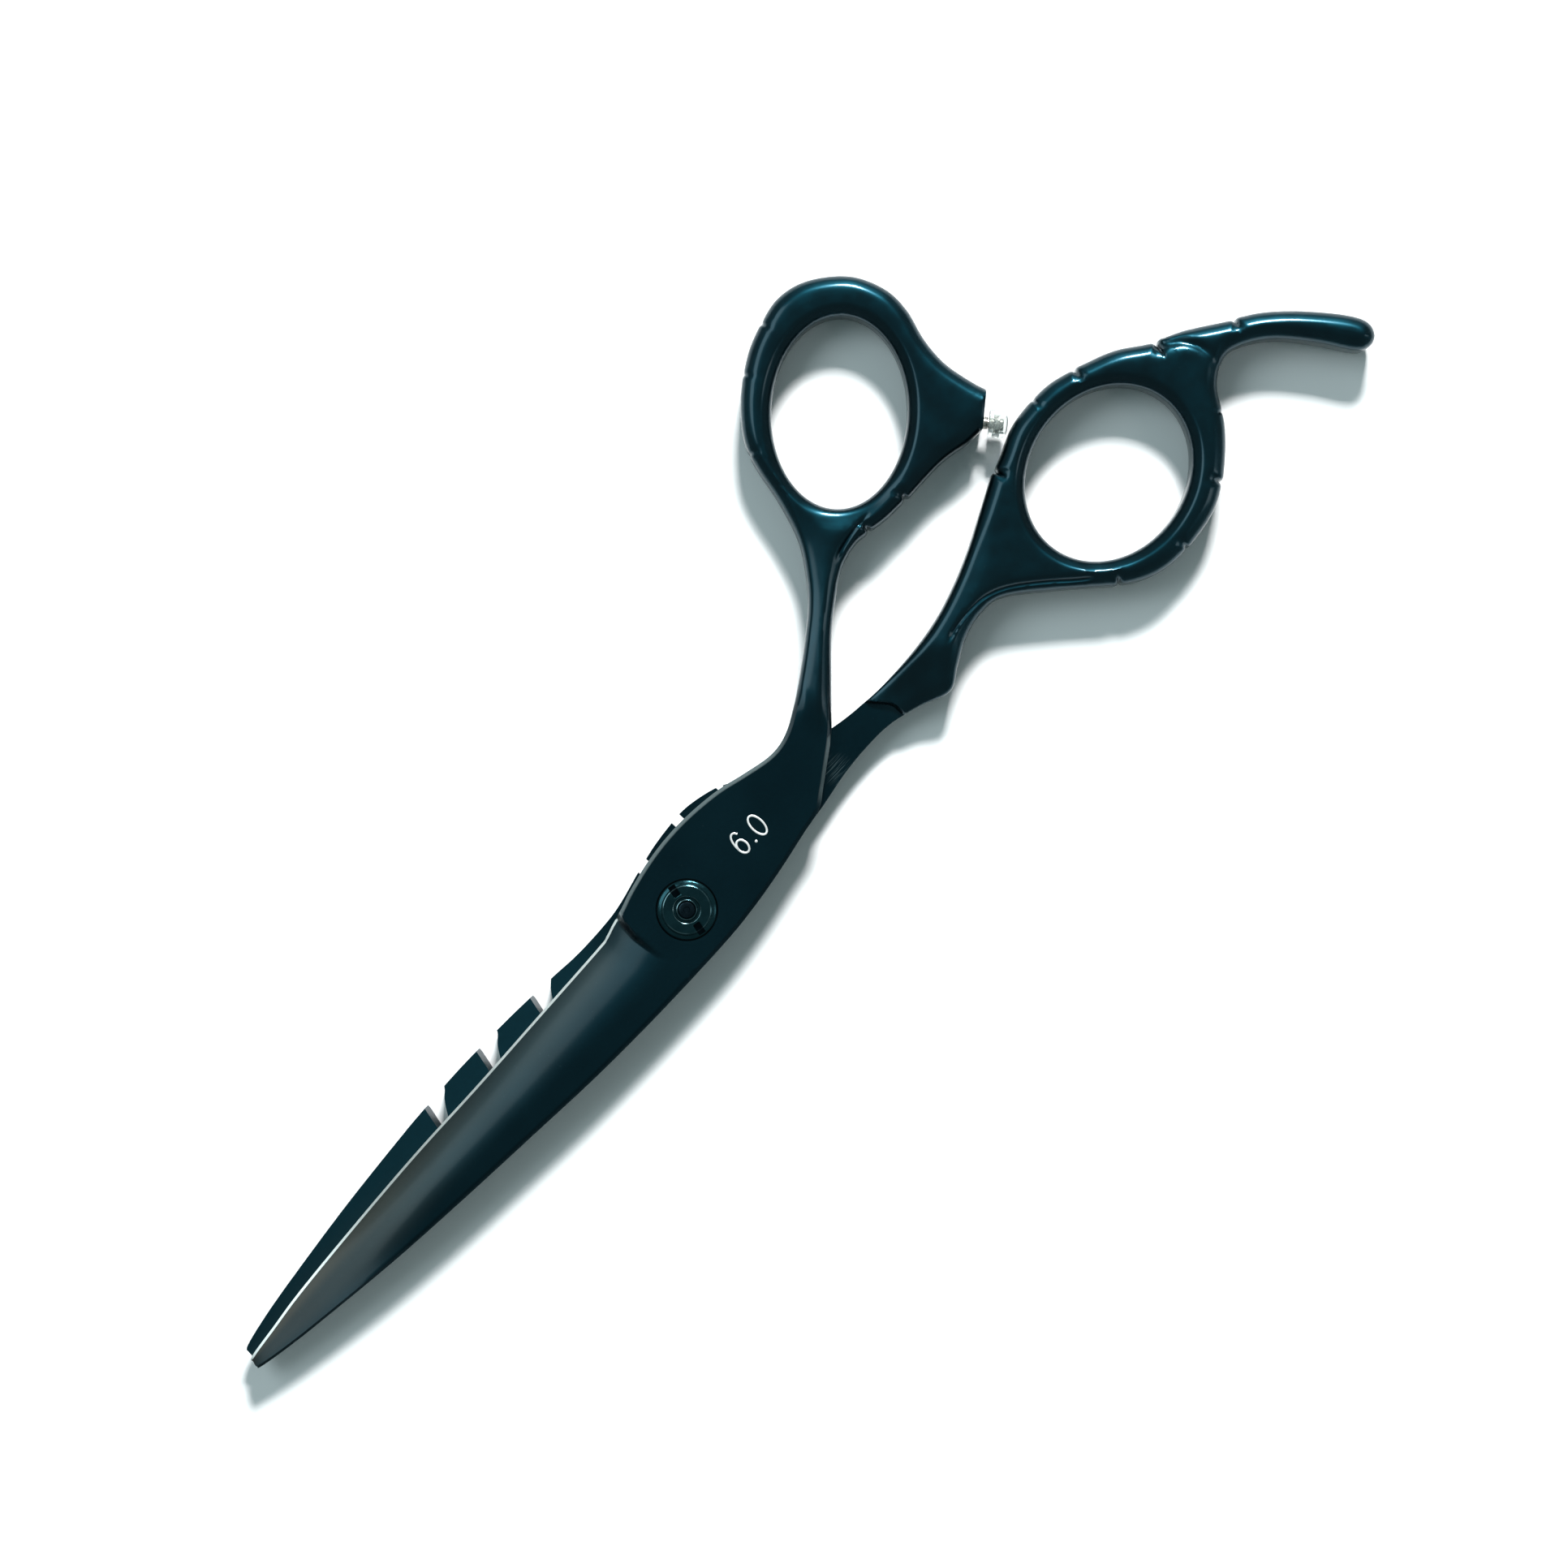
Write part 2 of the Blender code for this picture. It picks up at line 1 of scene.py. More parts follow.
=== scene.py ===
"""Looks of a pair of 6.0 in thinning shears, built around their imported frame.

The shears lie flat and closed on a pale floor. The pivot axis is the Z axis, -X runs to the blade tips,
+X to the handles, and +Y to the thumb ring. Outlines and heights below are in millimetres, and turn
into metres when a mesh is made.
"""

import math

import bmesh
import bpy
import numpy as np
from mathutils import Matrix, Vector, geometry


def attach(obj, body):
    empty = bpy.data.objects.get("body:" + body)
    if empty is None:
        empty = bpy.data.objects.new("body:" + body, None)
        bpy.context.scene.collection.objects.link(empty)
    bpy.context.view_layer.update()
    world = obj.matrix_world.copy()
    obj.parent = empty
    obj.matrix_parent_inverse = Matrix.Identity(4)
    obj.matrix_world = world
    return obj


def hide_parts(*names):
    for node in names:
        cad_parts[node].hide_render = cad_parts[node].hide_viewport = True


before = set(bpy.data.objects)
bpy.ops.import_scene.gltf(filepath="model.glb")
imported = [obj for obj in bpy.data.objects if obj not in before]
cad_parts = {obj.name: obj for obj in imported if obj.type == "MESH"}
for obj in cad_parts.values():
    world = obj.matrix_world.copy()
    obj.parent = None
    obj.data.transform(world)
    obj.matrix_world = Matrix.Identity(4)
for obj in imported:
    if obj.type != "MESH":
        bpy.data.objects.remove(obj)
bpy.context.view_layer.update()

MM = 0.001

# Heights and thicknesses.
RIDE = 3.0  # the plane in which the two halves meet
RIDE_GAP = 0.02
PLATE = 2.43
HANDLE_HALF = 2.88
TIP_THICKNESS, EDGE_THICKNESS, TAPER_LENGTH = 0.9, 0.12, 36.0
LEAST_THICKNESS = 0.03
PLATE_BEVEL, PLATE_BEVEL_DROP = 0.44, 0.55
SPINE_BEVEL, SPINE_BEVEL_DROP = 0.38, 0.3
HOLLOW = 0.05  # depth of the hollow grind on the inner faces
GRIND_WIDTH = 0.72  # share of the blade's width that the convex grind takes
GRIND_FLATTENS = (38, 64)  # distances from the pivot between which the grind turns from convex to straight
PLUNGE_WIDTH = 0.85  # of the step from the ground blade up to the plate

# Borders of the blades and plates, from the tip to the weld.
FRONT_TIP = -69.3
FRONT_EDGE = [(-69.3, -0.2), (-68.9, 0.3), (-65, 0.85), (-60, 1.5), (-50, 2.3), (-40, 2.9), (-30, 3.2),
              (-20, 3.65), (-10, 4.1), (-8.5, 4.3), (-7, 4.75), (-5, 5.25), (-3, 5.9), (0, 6.6), (3, 7.05),
              (6, 7.2), (9, 7.05), (12, 6.65), (15, 5.9), (18, 5.25), (20, 5.25), (22, 5.85), (24, 6.95)]
FRONT_SPINE = [(-69.3, -0.9), (-68.9, -1.25), (-65, -1.95), (-60, -2.6), (-50, -3.7), (-40, -4.45),
               (-30, -5.05), (-20, -5.6), (-10, -5.75), (0, -5.55), (5, -5.15), (10, -4.4), (15, -3.4),
               (18, -2.8), (20, -1.5), (22, -0.1), (24, 1.3)]
REAR_SPINE = [(-68.9, 0.9), (-68.5, 1.45), (-65, 2.25), (-60, 3.05), (-50, 4.35), (-40, 5.3), (-35.5, 5.6),
              (-30, 5.85), (-22, 5.8), (-16, 5.5), (-12, 5.25), (-8, 5.35), (-5, 5.7), (-1, 6.7), (2, 7.4),
              (5, 7.8), (8, 7.9), (11.5, 7.15), (14, 6.0), (19, 4.2), (25.5, 2.4), (30.4, 1.75)]
REAR_EDGE = [(-68.9, 0.1), (-68.5, -0.1), (-65, -0.45), (-60, -0.95), (-50, -1.85), (-40, -2.55),
             (-30, -3.05), (-20, -3.4), (-10, -3.6), (-7, -4.2), (-4, -4.9), (0, -5.2), (5, -4.85),
             (10, -4.1), (15, -3.3), (18.4, -2.9), (23, -2.1), (27, -1.8), (30.4, -1.95)]

# Borders of the handles, once round from the weld and back to it.
FRONT_HANDLE = [(25, 7.55), (27, 8.9), (29, 10.3), (31, 11.8), (33, 13.4), (35.1, 15.6), (37.6, 19.2),
                (39.2, 23.7), (40.2, 28.1), (41.5, 31.4), (44.5, 34.8), (48.3, 37.5), (51.5, 38.8),
                (55.3, 39.6), (59, 38.6), (62.6, 35.6), (64.3, 31.8), (64.3, 28.4), (63.3, 24.8),
                (63.0, 21.3), (63.6, 17.8), (64.1, 16.1), (60.6, 13.35), (58.3, 13.45), (55, 14.0),
                (50, 14.0), (46, 14.1), (42.5, 14.65), (40, 14.25), (38, 13.35), (36, 12.0), (33, 9.72),
                (29, 5.9), (25.4, 2.4)]
REAR_HANDLE = [(34, 1.65), (38, 1.88), (42, 2.5), (46, 3.68), (50, 5.3), (54, 7.28), (57.4, 8.9), (60, 9.9),
               (63, 11.2), (66, 11.6), (69.5, 11.5), (73.5, 10.3), (77, 8.9), (80.5, 6.5), (84, 4.85),
               (88, 2.2), (91, 0.35), (94, -2.4), (97.3, -6.4), (98.6, -8.9), (98.1, -10.6), (96.7, -11.0),
               (95.3, -10.1), (93, -6.5), (90, -2.8), (87, -0.75), (84.6, -0.4), (82, -2.0), (79.5, -5.6),
               (76.3, -8.6), (72.5, -11.0), (68.5, -11.9), (64, -11.9), (60.6, -10.7), (57.7, -8.5),
               (53.5, -4.8), (49, -1.2), (46, -0.65), (43, -1.3), (40, -2.85), (37.4, -4.2), (34, -2.9)]
LOBE_FACE = [(64.1, 16.1), (60.6, 13.35)]  # the flat that carries the bumper
SHARP_CORNERS = [*LOBE_FACE, (25.4, 2.4)]

# Where the upper shank leaves the lower half: the corner, the way it runs in degrees, and the
# distances along it between which it thickens down to the surface that the shears lie on.
CROSSING, SHANK_WAY, SHANK_DROP = (25.6, 4.4), 44, (3.4, 8.5)

# Holes of the rings: centre, half axes, turn of the long axis in degrees.
THUMB_HOLE = ((51.0, 25.95), (10.6, 7.5), 42.0)
FINGER_HOLE = ((66.75, 0.0), (10.15, 8.62), 9.0)

# Grip joints: place on the border, depth and length of the groove, and the side that stands proud.
FRONT_JOINTS = [((40.6, 30.0), 0.11, 0.6, 1), ((46.6, 36.5), 0.11, 0.6, 1), ((52.2, 39.0), 0.14, 0.7, 1),
                ((49.3, 13.9), 0.32, 0.8, 1), ((43.9, 14.5), 0.34, 1.0, -1)]
REAR_JOINTS = [((58.2, 9.1), 0.38, 1.7, 1), ((66.7, 11.6), 0.14, 0.8, 1), ((72.3, 10.8), 0.30, 1.2, -1),
               ((80.8, 6.3), 0.55, 2.3, -1), ((88.7, 1.75), 0.32, 1.2, -1), ((80.4, -4.4), 0.10, 0.7, 1),
               ((74.7, -9.7), 0.30, 1.2, 1), ((66.7, -12.0), 0.22, 0.9, 1), ((58.9, -9.5), 0.30, 1.2, -1)]
REAR_FOLD = [(80.9, 5.9), (81.6, 5.0), (82.7, 4.1), (83.5, 2.8), (83.8, 1.2), (83.4, -0.2)]
FOLD_DEPTH, FOLD_WIDTH = 0.36, 0.50
GROOVE_WIDTH, GROOVE_LEAN, GROOVE_DEEPER = 0.16, 0.12, 1.3
NICK_WIDTH, SWELLING_LENGTH, SWELLING_SHARE = 0.24, 1.3, 0.45
FRONT_CREASE = [(38.6, 14.6), (40, 15.2), (42, 15.65), (44, 15.85), (45.5, 15.8)]
REAR_CREASE = [(40.6, -0.5), (42.5, 0.2), (45, 0.5), (47.5, 0.35), (50, -0.7), (53, -3.0), (56, -5.7),
               (58.2, -7.5)]
CREASE_DEPTH, CREASE_WIDTH = 0.30, 0.24

# Handle section: height as a share of the half thickness against the distance from the border, and
# from the rim of the hole.
OUTER_SECTION = [(0.0, 0.40), (0.03, 0.50), (0.09, 0.59), (0.2, 0.675), (0.35, 0.74), (0.6, 0.815),
                 (0.9, 0.885), (1.2, 0.94), (1.45, 0.962), (1.8, 0.979), (2.3, 0.992), (3.0, 1.0)]
HOLE_SECTION = [(0.0, 0.42), (0.05, 0.53), (0.12, 0.61), (0.28, 0.69), (0.45, 0.755), (0.95, 0.905),
                (1.15, 0.957), (1.6, 0.979), (2.4, 1.0)]
ROOT_SECTION = [(0.0, 0.42), (0.05, 0.53), (0.12, 0.61), (0.28, 0.70), (0.45, 0.77), (0.75, 0.835),
                (2.7, 0.985), (3.4, 1.0)]
FRONT_SHANK_SECTION = [(0.0, 0.62), (0.25, 0.77), (1.2, 0.865), (1.9, 0.915), (3.0, 0.98), (3.8, 1.0)]
REAR_SHANK_SECTION = [(0.0, 0.60), (0.35, 0.765), (0.5, 0.82), (0.8, 0.875), (2.5, 0.975), (3.4, 1.0)]
FACE_SECTION = [(0.0, 0.84), (0.28, 0.95), (0.8, 1.0)]
# The first is the width of the painted highlight along the upper plate's bevels.
BEVEL_HIGHLIGHT_WIDTH, AWAY_FROM_EDGE = 0.41, 9.0

# Spacing of mesh points, and the rows of them beside a border, a crease, a step or a fold.
GRID, CHORD = 0.5, 0.3
GRID_MARGIN, BORDER_MARGIN, ROW_MARGIN, MERGE = 0.25, 0.04, 0.11, 0.07
CHUNK = 2000  # points compared at once
RIM_STEPS = (0.05, 0.12, 0.28, 0.45, 0.62, 0.8, 1.0, 1.2, 1.45, 1.8, 2.3)
CREASE_ROWS = (-0.45, -0.3, -0.15, 0.0, 0.15, 0.3, 0.45)
SHOULDER_ROWS = (-0.15, 0.0, 0.1, 0.2, 0.3, 0.4, 0.55, 0.8)
PLUNGE_ROWS = (0.12, 0.0, -0.1, -0.2, -0.3, -0.4, -0.5, -0.6, -0.7, -0.85)
FOLD_ROWS = (-0.6, -0.4, -0.2, 0.0, 0.2, 0.4, 0.6)

# Slots through the spine of the toothed blade: x of both walls where they leave the spine.
SPINE_SLOTS = [(-35.6, -32.8), (-27.15, -24.35), (-18.75, -15.9)]
SLOT_TOP, SLOT_FLOOR, SLOT_FLOOR_RADIUS = 7.0, 1.6, 0.55
SLOT_FRONT_LEAN = 0.75
SLOT_WALL_SLOPE = 0.45  # the front wall leans this much from the lower face to the upper
SLOT_BACK_WALL = [(0.5, 7.0), (0.0, 5.7), (-0.9, 4.8), (-1.5, 4.0), (-2.05, 3.15)]
PLATE_SLOTS = [(-0.9, 0.8), (5.6, 6.9), (11.8, 12.5)]
PLATE_SLOT_FLOOR = 6.1

# Gaps between the thinning teeth.
TOOTH_PITCH, FIRST_GAP, LAST_GAP = 2.12, -64.8, -14.0
GAP_WIDTH, GAP_DEPTH_TIP, GAP_DEPTH_HEEL = 1.05, 1.3, 3.0
GAP_DEEPENING = 1.8  # how much sooner than the last gap the full depth is reached
GAP_BAR_LENGTH, GAP_BAR_HEIGHT, GAP_BAR_START = 9.0, 6.0, 4.0  # cutters, from below the ride plane

# Pivot.
BORE, DIAL_SEAT, SEAT_HEIGHT = 2.72, 3.45, 4.35
HEAD_SEAT, HEAD_TOP, STUD_BORE = 3.72, 1.3, 1.96
WASHER_RECESS_RADIUS, WASHER_RECESS = 4.85, 0.23
DIAL_BASE, DIAL_SLOT_FLOOR = 5.03, 5.26
DIAL_SLOT_INNER, DIAL_SLOT_OUTER, DIAL_SLOT_HALF_WIDTH = 1.78, 3.12, 0.42
DIAL_SLOT_TURN = 78

# Size mark on the plate.
MARK_HEIGHT, MARK_STROKE = 2.62, 0.11
MARK_START = (8.7, -0.42)

# Bumper.
BUMPER_BASE, BUMPER_TURN = (61.3, 13.9), -51.9

# View and floor.
IMAGE_WIDTH, AIM, ROLL, CAMERA_HEIGHT = 173.3, (17.35, 1.92), -46.0, 405.0
FLOOR_REACH, FLOOR_GAP = 2500.0, 0.02
STUDIO_COLOUR, STUDIO_STRENGTH = (0.70, 0.96, 0.98), 0.235


# ---------------------------------------------------------------- outlines

def smoothed(points, steps=8, corners=(), closed=False):
    """A Catmull-Rom curve through the points, straight into each corner."""
    pts = np.array(points, float)
    ends = np.vstack([pts[-1:], pts, pts[:2]]) if closed else np.vstack([pts[:1], pts, pts[-1:]])
    corners = [tuple(c) for c in corners]
    t = np.arange(steps)[:, None] / steps
    made = []
    for before, start, end, after in zip(ends, ends[1:], ends[2:], ends[3:]):
        before = start if tuple(start) in corners else before
        after = end if tuple(end) in corners else after
        made.append(0.5 * (2 * start + (end - before) * t + (2 * before - 5 * start + 4 * end - after) * t**2
                           + (3 * start - before - 3 * end + after) * t**3))
    return np.vstack(made) if closed else np.vstack([*made, ends[-1:]])


def evenly(line, chord=CHORD, closed=True):
    """The same line with its points about a chord apart, keeping the points where it turns sharply."""
    line = np.vstack([line, line[:1]]) if closed else line
    run = np.linalg.norm(np.diff(line, axis=0), axis=1)
    line = line[np.r_[True, run > 1e-9]]
    step = np.diff(line, axis=0)
    along = np.r_[0, np.cumsum(np.linalg.norm(step, axis=1))]
    unit = step / np.linalg.norm(step, axis=1)[:, None]
    turn = np.einsum("ij,ij->i", unit[:-1], unit[1:])
    stops = np.r_[0, along[1:-1][turn < 0.9], along[-1]]
    places = [np.linspace(a, b, max(2, round((b - a) / chord) + 1))[:-1] for a, b in zip(stops, stops[1:])]
    places = np.concatenate([*places, [along[-1]]])
    made = np.column_stack([np.interp(places, along, line[:, i]) for i in (0, 1)])
    return made[:-1] if closed else made


def ellipse(centre, half_axes, turn, chord=CHORD):
    """The border of a hole, with its first axis turned by degrees from X."""
    count = round(math.tau * max(half_axes) / chord)
    around = np.arange(count) * math.tau / count
    c, s = math.cos(math.radians(turn)), math.sin(math.radians(turn))
    u, v = half_axes[0] * np.cos(around), half_axes[1] * np.sin(around)
    return np.column_stack([centre[0] + u * c - v * s, centre[1] + u * s + v * c])


def height_of(points):
    """A function giving the y of a border at x."""
    line = smoothed(points)
    return lambda x: np.interp(x, line[:, 0], line[:, 1])


def distance(points, line, closed=True):
    """Distance from each point to a line."""
    starts = line if closed else line[:-1]
    ends = np.roll(line, -1, axis=0) if closed else line[1:]
    step = ends - starts
    square = np.maximum((step**2).sum(1), 1e-12)
    made = np.empty(len(points))
    for low in range(0, len(points), CHUNK):
        some = points[low:low + CHUNK, None, :] - starts[None]
        share = np.clip((some * step).sum(2) / square, 0, 1)
        gap = some - share[..., None] * step
        made[low:low + CHUNK] = np.sqrt((gap**2).sum(2).min(1))
    return made


def inside(points, line):
    """True where a point is inside a closed line."""
    ends = np.roll(line, -1, axis=0)
    made = np.zeros(len(points), bool)
    for low in range(0, len(points), CHUNK):
        x, y = points[low:low + CHUNK, 0:1], points[low:low + CHUNK, 1:2]
        spans = (line[:, 1] > y) != (ends[:, 1] > y)
        rise = np.where(ends[:, 1] == line[:, 1], 1e-12, ends[:, 1] - line[:, 1])
        crossing = line[:, 0] + (y - line[:, 1]) / rise * (ends[:, 0] - line[:, 0])
        made[low:low + CHUNK] = (spans & (x < crossing)).sum(1) % 2 == 1
    return made


def step_between(value, low, high):
    """0 below low, 1 above high, and a smooth step between them."""
    share = np.clip((value - low) / (high - low), 0, 1)
    return share * share * (3 - 2 * share)


def border_normals(line):
    """Unit normals to the left of a closed line's run."""
    run = np.roll(line, -1, axis=0) - np.roll(line, 1, axis=0)
    run /= np.linalg.norm(run, axis=1)[:, None]
    return np.column_stack([-run[:, 1], run[:, 0]])


def counterclockwise(line):
    """The closed line in the direction that keeps its inside on the left."""
    area = (line[:, 0] * np.roll(line[:, 1], -1) - np.roll(line[:, 0], -1) * line[:, 1]).sum()
    return line if area > 0 else line[::-1].copy()


def joint_frames(line, joints):
    """For each grip joint: its point on the border, the inward normal, the run, and its sizes."""
    normals = border_normals(line)
    made = []
    for place, depth, length, side in joints:
        nearest = np.argmin(((line - place)**2).sum(1))
        inward = normals[nearest]
        made.append((line[nearest], inward, np.array([inward[1], -inward[0]]) * side, depth, length))
    return made


def with_joints(line, joints):
    """The border with each grip joint's nick, and a swelling on the side that stands proud."""
    normals = border_normals(line)
    shift = np.zeros(len(line))
    for centre, inward, run, depth, _ in joints:
        gap = line - centre
        along = gap @ run
        near = (np.abs(gap @ inward) < 1.3) & (np.abs(along) < 4)
        nick = depth * np.exp(-(along / NICK_WIDTH)**2)
        swelling = np.where(along > 0, np.exp(-along / SWELLING_LENGTH) * step_between(along, 0, 0.45), 0)
        shift += np.where(near, nick - SWELLING_SHARE * depth * swelling, 0)
    return line + normals * shift[:, None]


def joint_grooves(points, joints):
    """How deep the grooves of the grip joints cut at each point."""
    made = np.zeros(len(points))
    for centre, inward, run, depth, length in joints:
        gap = points - centre
        along, within = gap @ run, gap @ inward
        groove = np.exp(-((along - GROOVE_LEAN * within) / GROOVE_WIDTH)**2)
        groove *= (1 - step_between(within, 0.15 * length, length)) * (within > -0.8)
        made = np.maximum(made, GROOVE_DEEPER * depth * groove)
    return made


def crease_depth(points, line):
    """Depth of the shallow crease along an open line, fading at both ends."""
    depth = CREASE_DEPTH * np.exp(-(distance(points, line, closed=False) / CREASE_WIDTH)**2)
    for end in (line[0], line[-1]):
        depth *= step_between(np.linalg.norm(points - end, axis=1), 0, 2)
    return depth


def joint_points(joints):
    """Close-set points over each groove."""
    along, within = np.meshgrid(np.arange(-0.6, 0.61, 0.1), np.arange(0.06, 1.0, 0.08))
    made = [centre + along[..., None] * run + (within * (length + 0.3))[..., None] * inward
            for centre, inward, run, _, length in joints]
    return np.vstack([rows.reshape(-1, 2) for rows in made])


def beside(line, offsets):
    """Rows of points to the left of an open line, at set distances."""
    run = np.gradient(line, axis=0)
    run /= np.linalg.norm(run, axis=1)[:, None]
    left = np.column_stack([-run[:, 1], run[:, 0]])
    return np.vstack([line + left * offset for offset in offsets])


# ---------------------------------------------------------------- meshes

def new_object(name, mesh, material=None):
    """An object in the scene, with a material of its own if one is given."""
    made = bpy.data.objects.new(name, mesh)
    bpy.context.scene.collection.objects.link(made)
    if material:
        made.data.materials.clear()
        made.data.materials.append(material)
    return made


def mesh_of(name, points, faces):
    """A mesh from points in millimetres."""
    mesh = bpy.data.meshes.new(name)
    mesh.from_pydata((np.asarray(points, float) * MM).tolist(), [], [list(map(int, f)) for f in faces])
    mesh.update()
    return mesh


def smooth_faces(mesh, angle=28.0):
    """Smooth shading that keeps an edge sharp past an angle in degrees."""
    mesh.polygons.foreach_set("use_smooth", [True] * len(mesh.polygons))
    mesh.set_sharp_from_angle(angle=math.radians(angle))
    mesh.update()


def plain_copy(name, source):
    """The evaluated shape of an object as a plain mesh object, in place of it."""
    bpy.context.view_layer.update()
    graph = bpy.context.evaluated_depsgraph_get()
    mesh = bpy.data.meshes.new_from_object(source.evaluated_get(graph), depsgraph=graph)
    mesh.transform(source.matrix_world)
    bpy.data.objects.remove(source)
    mesh.name = name
    return new_object(name, mesh)


def carved(piece, *cutters):
    """The piece with the cutters taken out of it."""
    name = piece.name
    for solid in (piece, *cutters):
        solid.data.transform(Matrix.Scale(1 / MM, 4))  # the solver drops slivers in metres
    for cutter in cutters:
        boolean = piece.modifiers.new(cutter.name, "BOOLEAN")
        boolean.operation = "DIFFERENCE"
        boolean.solver = "EXACT"
        boolean.object = cutter
    made = plain_copy(name, piece)
    for cutter in cutters:
        bpy.data.objects.remove(cutter)
    made.data.transform(Matrix.Scale(MM, 4))
    made.name = name
    return made


def triangular_grid(low, high):
    """Rows of points over a box, every second row shifted by half a step."""
    levels = np.arange(low[1], high[1], GRID * 0.866)
    return np.array([(x + (i % 2) * GRID / 2, y) for i, y in enumerate(levels)
                     for x in np.arange(low[0], high[0], GRID)])


def clear_of(points, others, gap):
    """The points that lie farther than a gap from all the others."""
    clear = np.ones(len(points), bool)
    for first in range(0, len(points), CHUNK):
        apart = points[first:first + CHUNK, None] - others[None]
        clear[first:first + CHUNK] = (apart**2).sum(2).min(1) > gap**2
    return points[clear]


def sheet_points(border, holes, extra):
    """Points and edges to triangulate: the borders, lines at set distances inside them, and a grid."""
    loops = [border, *holes]

    def from_borders(points):
        return np.min([distance(points, loop) for loop in loops], axis=0)

    rows = []
    for loop in loops:
        normals = border_normals(loop)
        for depth in RIM_STEPS:
            moved = loop + normals * depth
            rows.append(moved[from_borders(moved) > 0.95 * depth])
    grid = triangular_grid(border.min(0), border.max(0))
    grid = grid[inside(grid, border)]
    grid = grid[from_borders(grid) > RIM_STEPS[-1] + GRID_MARGIN]
    extra = extra[inside(extra, border)]
    extra = extra[from_borders(extra) > BORDER_MARGIN]
    loose = np.vstack([extra, clear_of(np.vstack([*rows, grid]), extra, ROW_MARGIN)])
    edges = []
    first = 0
    for loop in loops:
        count = len(loop)
        edges += [(first + i, first + (i + 1) % count) for i in range(count)]
        first += count
    _, kept = np.unique(np.round(loose / MERGE), axis=0, return_index=True)
    return np.vstack([*loops, loose[np.sort(kept)]]), edges


def plate_solid(name, border, holes, extra, faces_of):
    """A solid between two height fields over a flat outline. faces_of(points) gives top and bottom."""
    points, edges = sheet_points(border, holes, extra)
    found = geometry.delaunay_2d_cdt([Vector(p) for p in points.tolist()], edges, [], 0, 1e-5)
    points = np.array([tuple(p) for p in found[0]])
    triangles = np.array([f for f in found[2] if len(f) == 3])
    middle = points[triangles].mean(1)
    keep = inside(middle, border)
    for hole in holes:
        keep &= ~inside(middle, hole)
    triangles = triangles[keep]
    a, b, c = points[triangles[:, 0]], points[triangles[:, 1]], points[triangles[:, 2]]
    area = (b - a)[:, 0] * (c - a)[:, 1] - (b - a)[:, 1] * (c - a)[:, 0]
    triangles[area < 0] = triangles[area < 0][:, ::-1]
    used = np.unique(triangles)
    fresh = np.full(len(points), -1)
    fresh[used] = np.arange(len(used))
    points, triangles = points[used], fresh[triangles]
    top, bottom = faces_of(points)
    count = len(points)
    sides = np.vstack([triangles[:, [0, 1]], triangles[:, [1, 2]], triangles[:, [2, 0]]])
    ordered = {tuple(side) for side in sides.tolist()}
    walls = [(a + count, b + count, b, a) for a, b in ordered if (b, a) not in ordered]
    walls.sort()
    solid = np.vstack([np.column_stack([points, top]), np.column_stack([points, bottom])])
    faces = [*triangles.tolist(), *(triangles[:, ::-1] + count).tolist(), *walls]
    return new_object(name, mesh_of(name, solid, faces))


def turned(name, profile, steps=96, place=Matrix.Identity(4)):
    """A closed profile of (radius, height) turned about the Z axis, running down its outer side."""
    bm = bmesh.new()
    rings = []
    for radius, height in profile:
        if radius == 0:
            rings.append([bm.verts.new((0, 0, height * MM))] * steps)
            continue
        around = (math.tau * i / steps for i in range(steps))
        rings.append([bm.verts.new((radius * MM * math.cos(a), radius * MM * math.sin(a), height * MM))
                      for a in around])
    for ring, following in zip(rings, [*rings[1:], rings[0]]):
        for i in range(steps):
            j = (i + 1) % steps
            corners = list(dict.fromkeys((ring[i], ring[j], following[j], following[i])))
            if len(corners) > 2:
                bm.faces.new(corners)
    bmesh.ops.recalc_face_normals(bm, faces=bm.faces)
    mesh = bpy.data.meshes.new(name)
    bm.to_mesh(mesh)
    bm.free()
    mesh.transform(place)
    return new_object(name, mesh)


def prism(name, lower, upper, low, high):
    """A closed solid between a lower and an upper outline with as many points each."""
    count = len(lower)
    points = [(*p, low) for p in lower] + [(*p, high) for p in upper]
    faces = [list(range(count))[::-1], list(range(count, 2 * count))]
    faces += [(i, (i + 1) % count, (i + 1) % count + count, i + count) for i in range(count)]
    return new_object(name, mesh_of(name, points, faces))


def joined(name, pieces):
    """One object from several."""
    bm = bmesh.new()
    for piece in pieces:
        piece.data.transform(piece.matrix_world)
        bm.from_mesh(piece.data)
        bpy.data.objects.remove(piece)
    bmesh.ops.recalc_face_normals(bm, faces=bm.faces)
    mesh = bpy.data.meshes.new(name)
    bm.to_mesh(mesh)
    bm.free()
    return new_object(name, mesh)


# ---------------------------------------------------------------- node trees that repeat a shape

def new_tree(name, **kinds):
    """A geometry node tree with named inputs, and the sockets of its input node."""
    tree = bpy.data.node_groups.new(name, "GeometryNodeTree")
    tree.is_modifier = True
    tree.interface.new_socket("Geometry", in_out="INPUT", socket_type="NodeSocketGeometry")
    for label, kind in kinds.items():
        tree.interface.new_socket(label, in_out="INPUT", socket_type=f"NodeSocket{kind}")
    tree.interface.new_socket("Geometry", in_out="OUTPUT", socket_type="NodeSocketGeometry")
    return tree, tree.nodes.new("NodeGroupInput").outputs


def add_node(tree, kind, settings=(), **feeds):
    """A node whose inputs, named with _ for a space, take another node's socket or a plain value."""
    made = tree.nodes.new(kind)
    for label, choice in settings:
        setattr(made, label, choice)
    for label, feed in feeds.items():
        socket = made.inputs[label.replace("_", " ")]
        if isinstance(feed, bpy.types.NodeSocket):
            tree.links.new(feed, socket)
        else:
            socket.default_value = feed
    return made


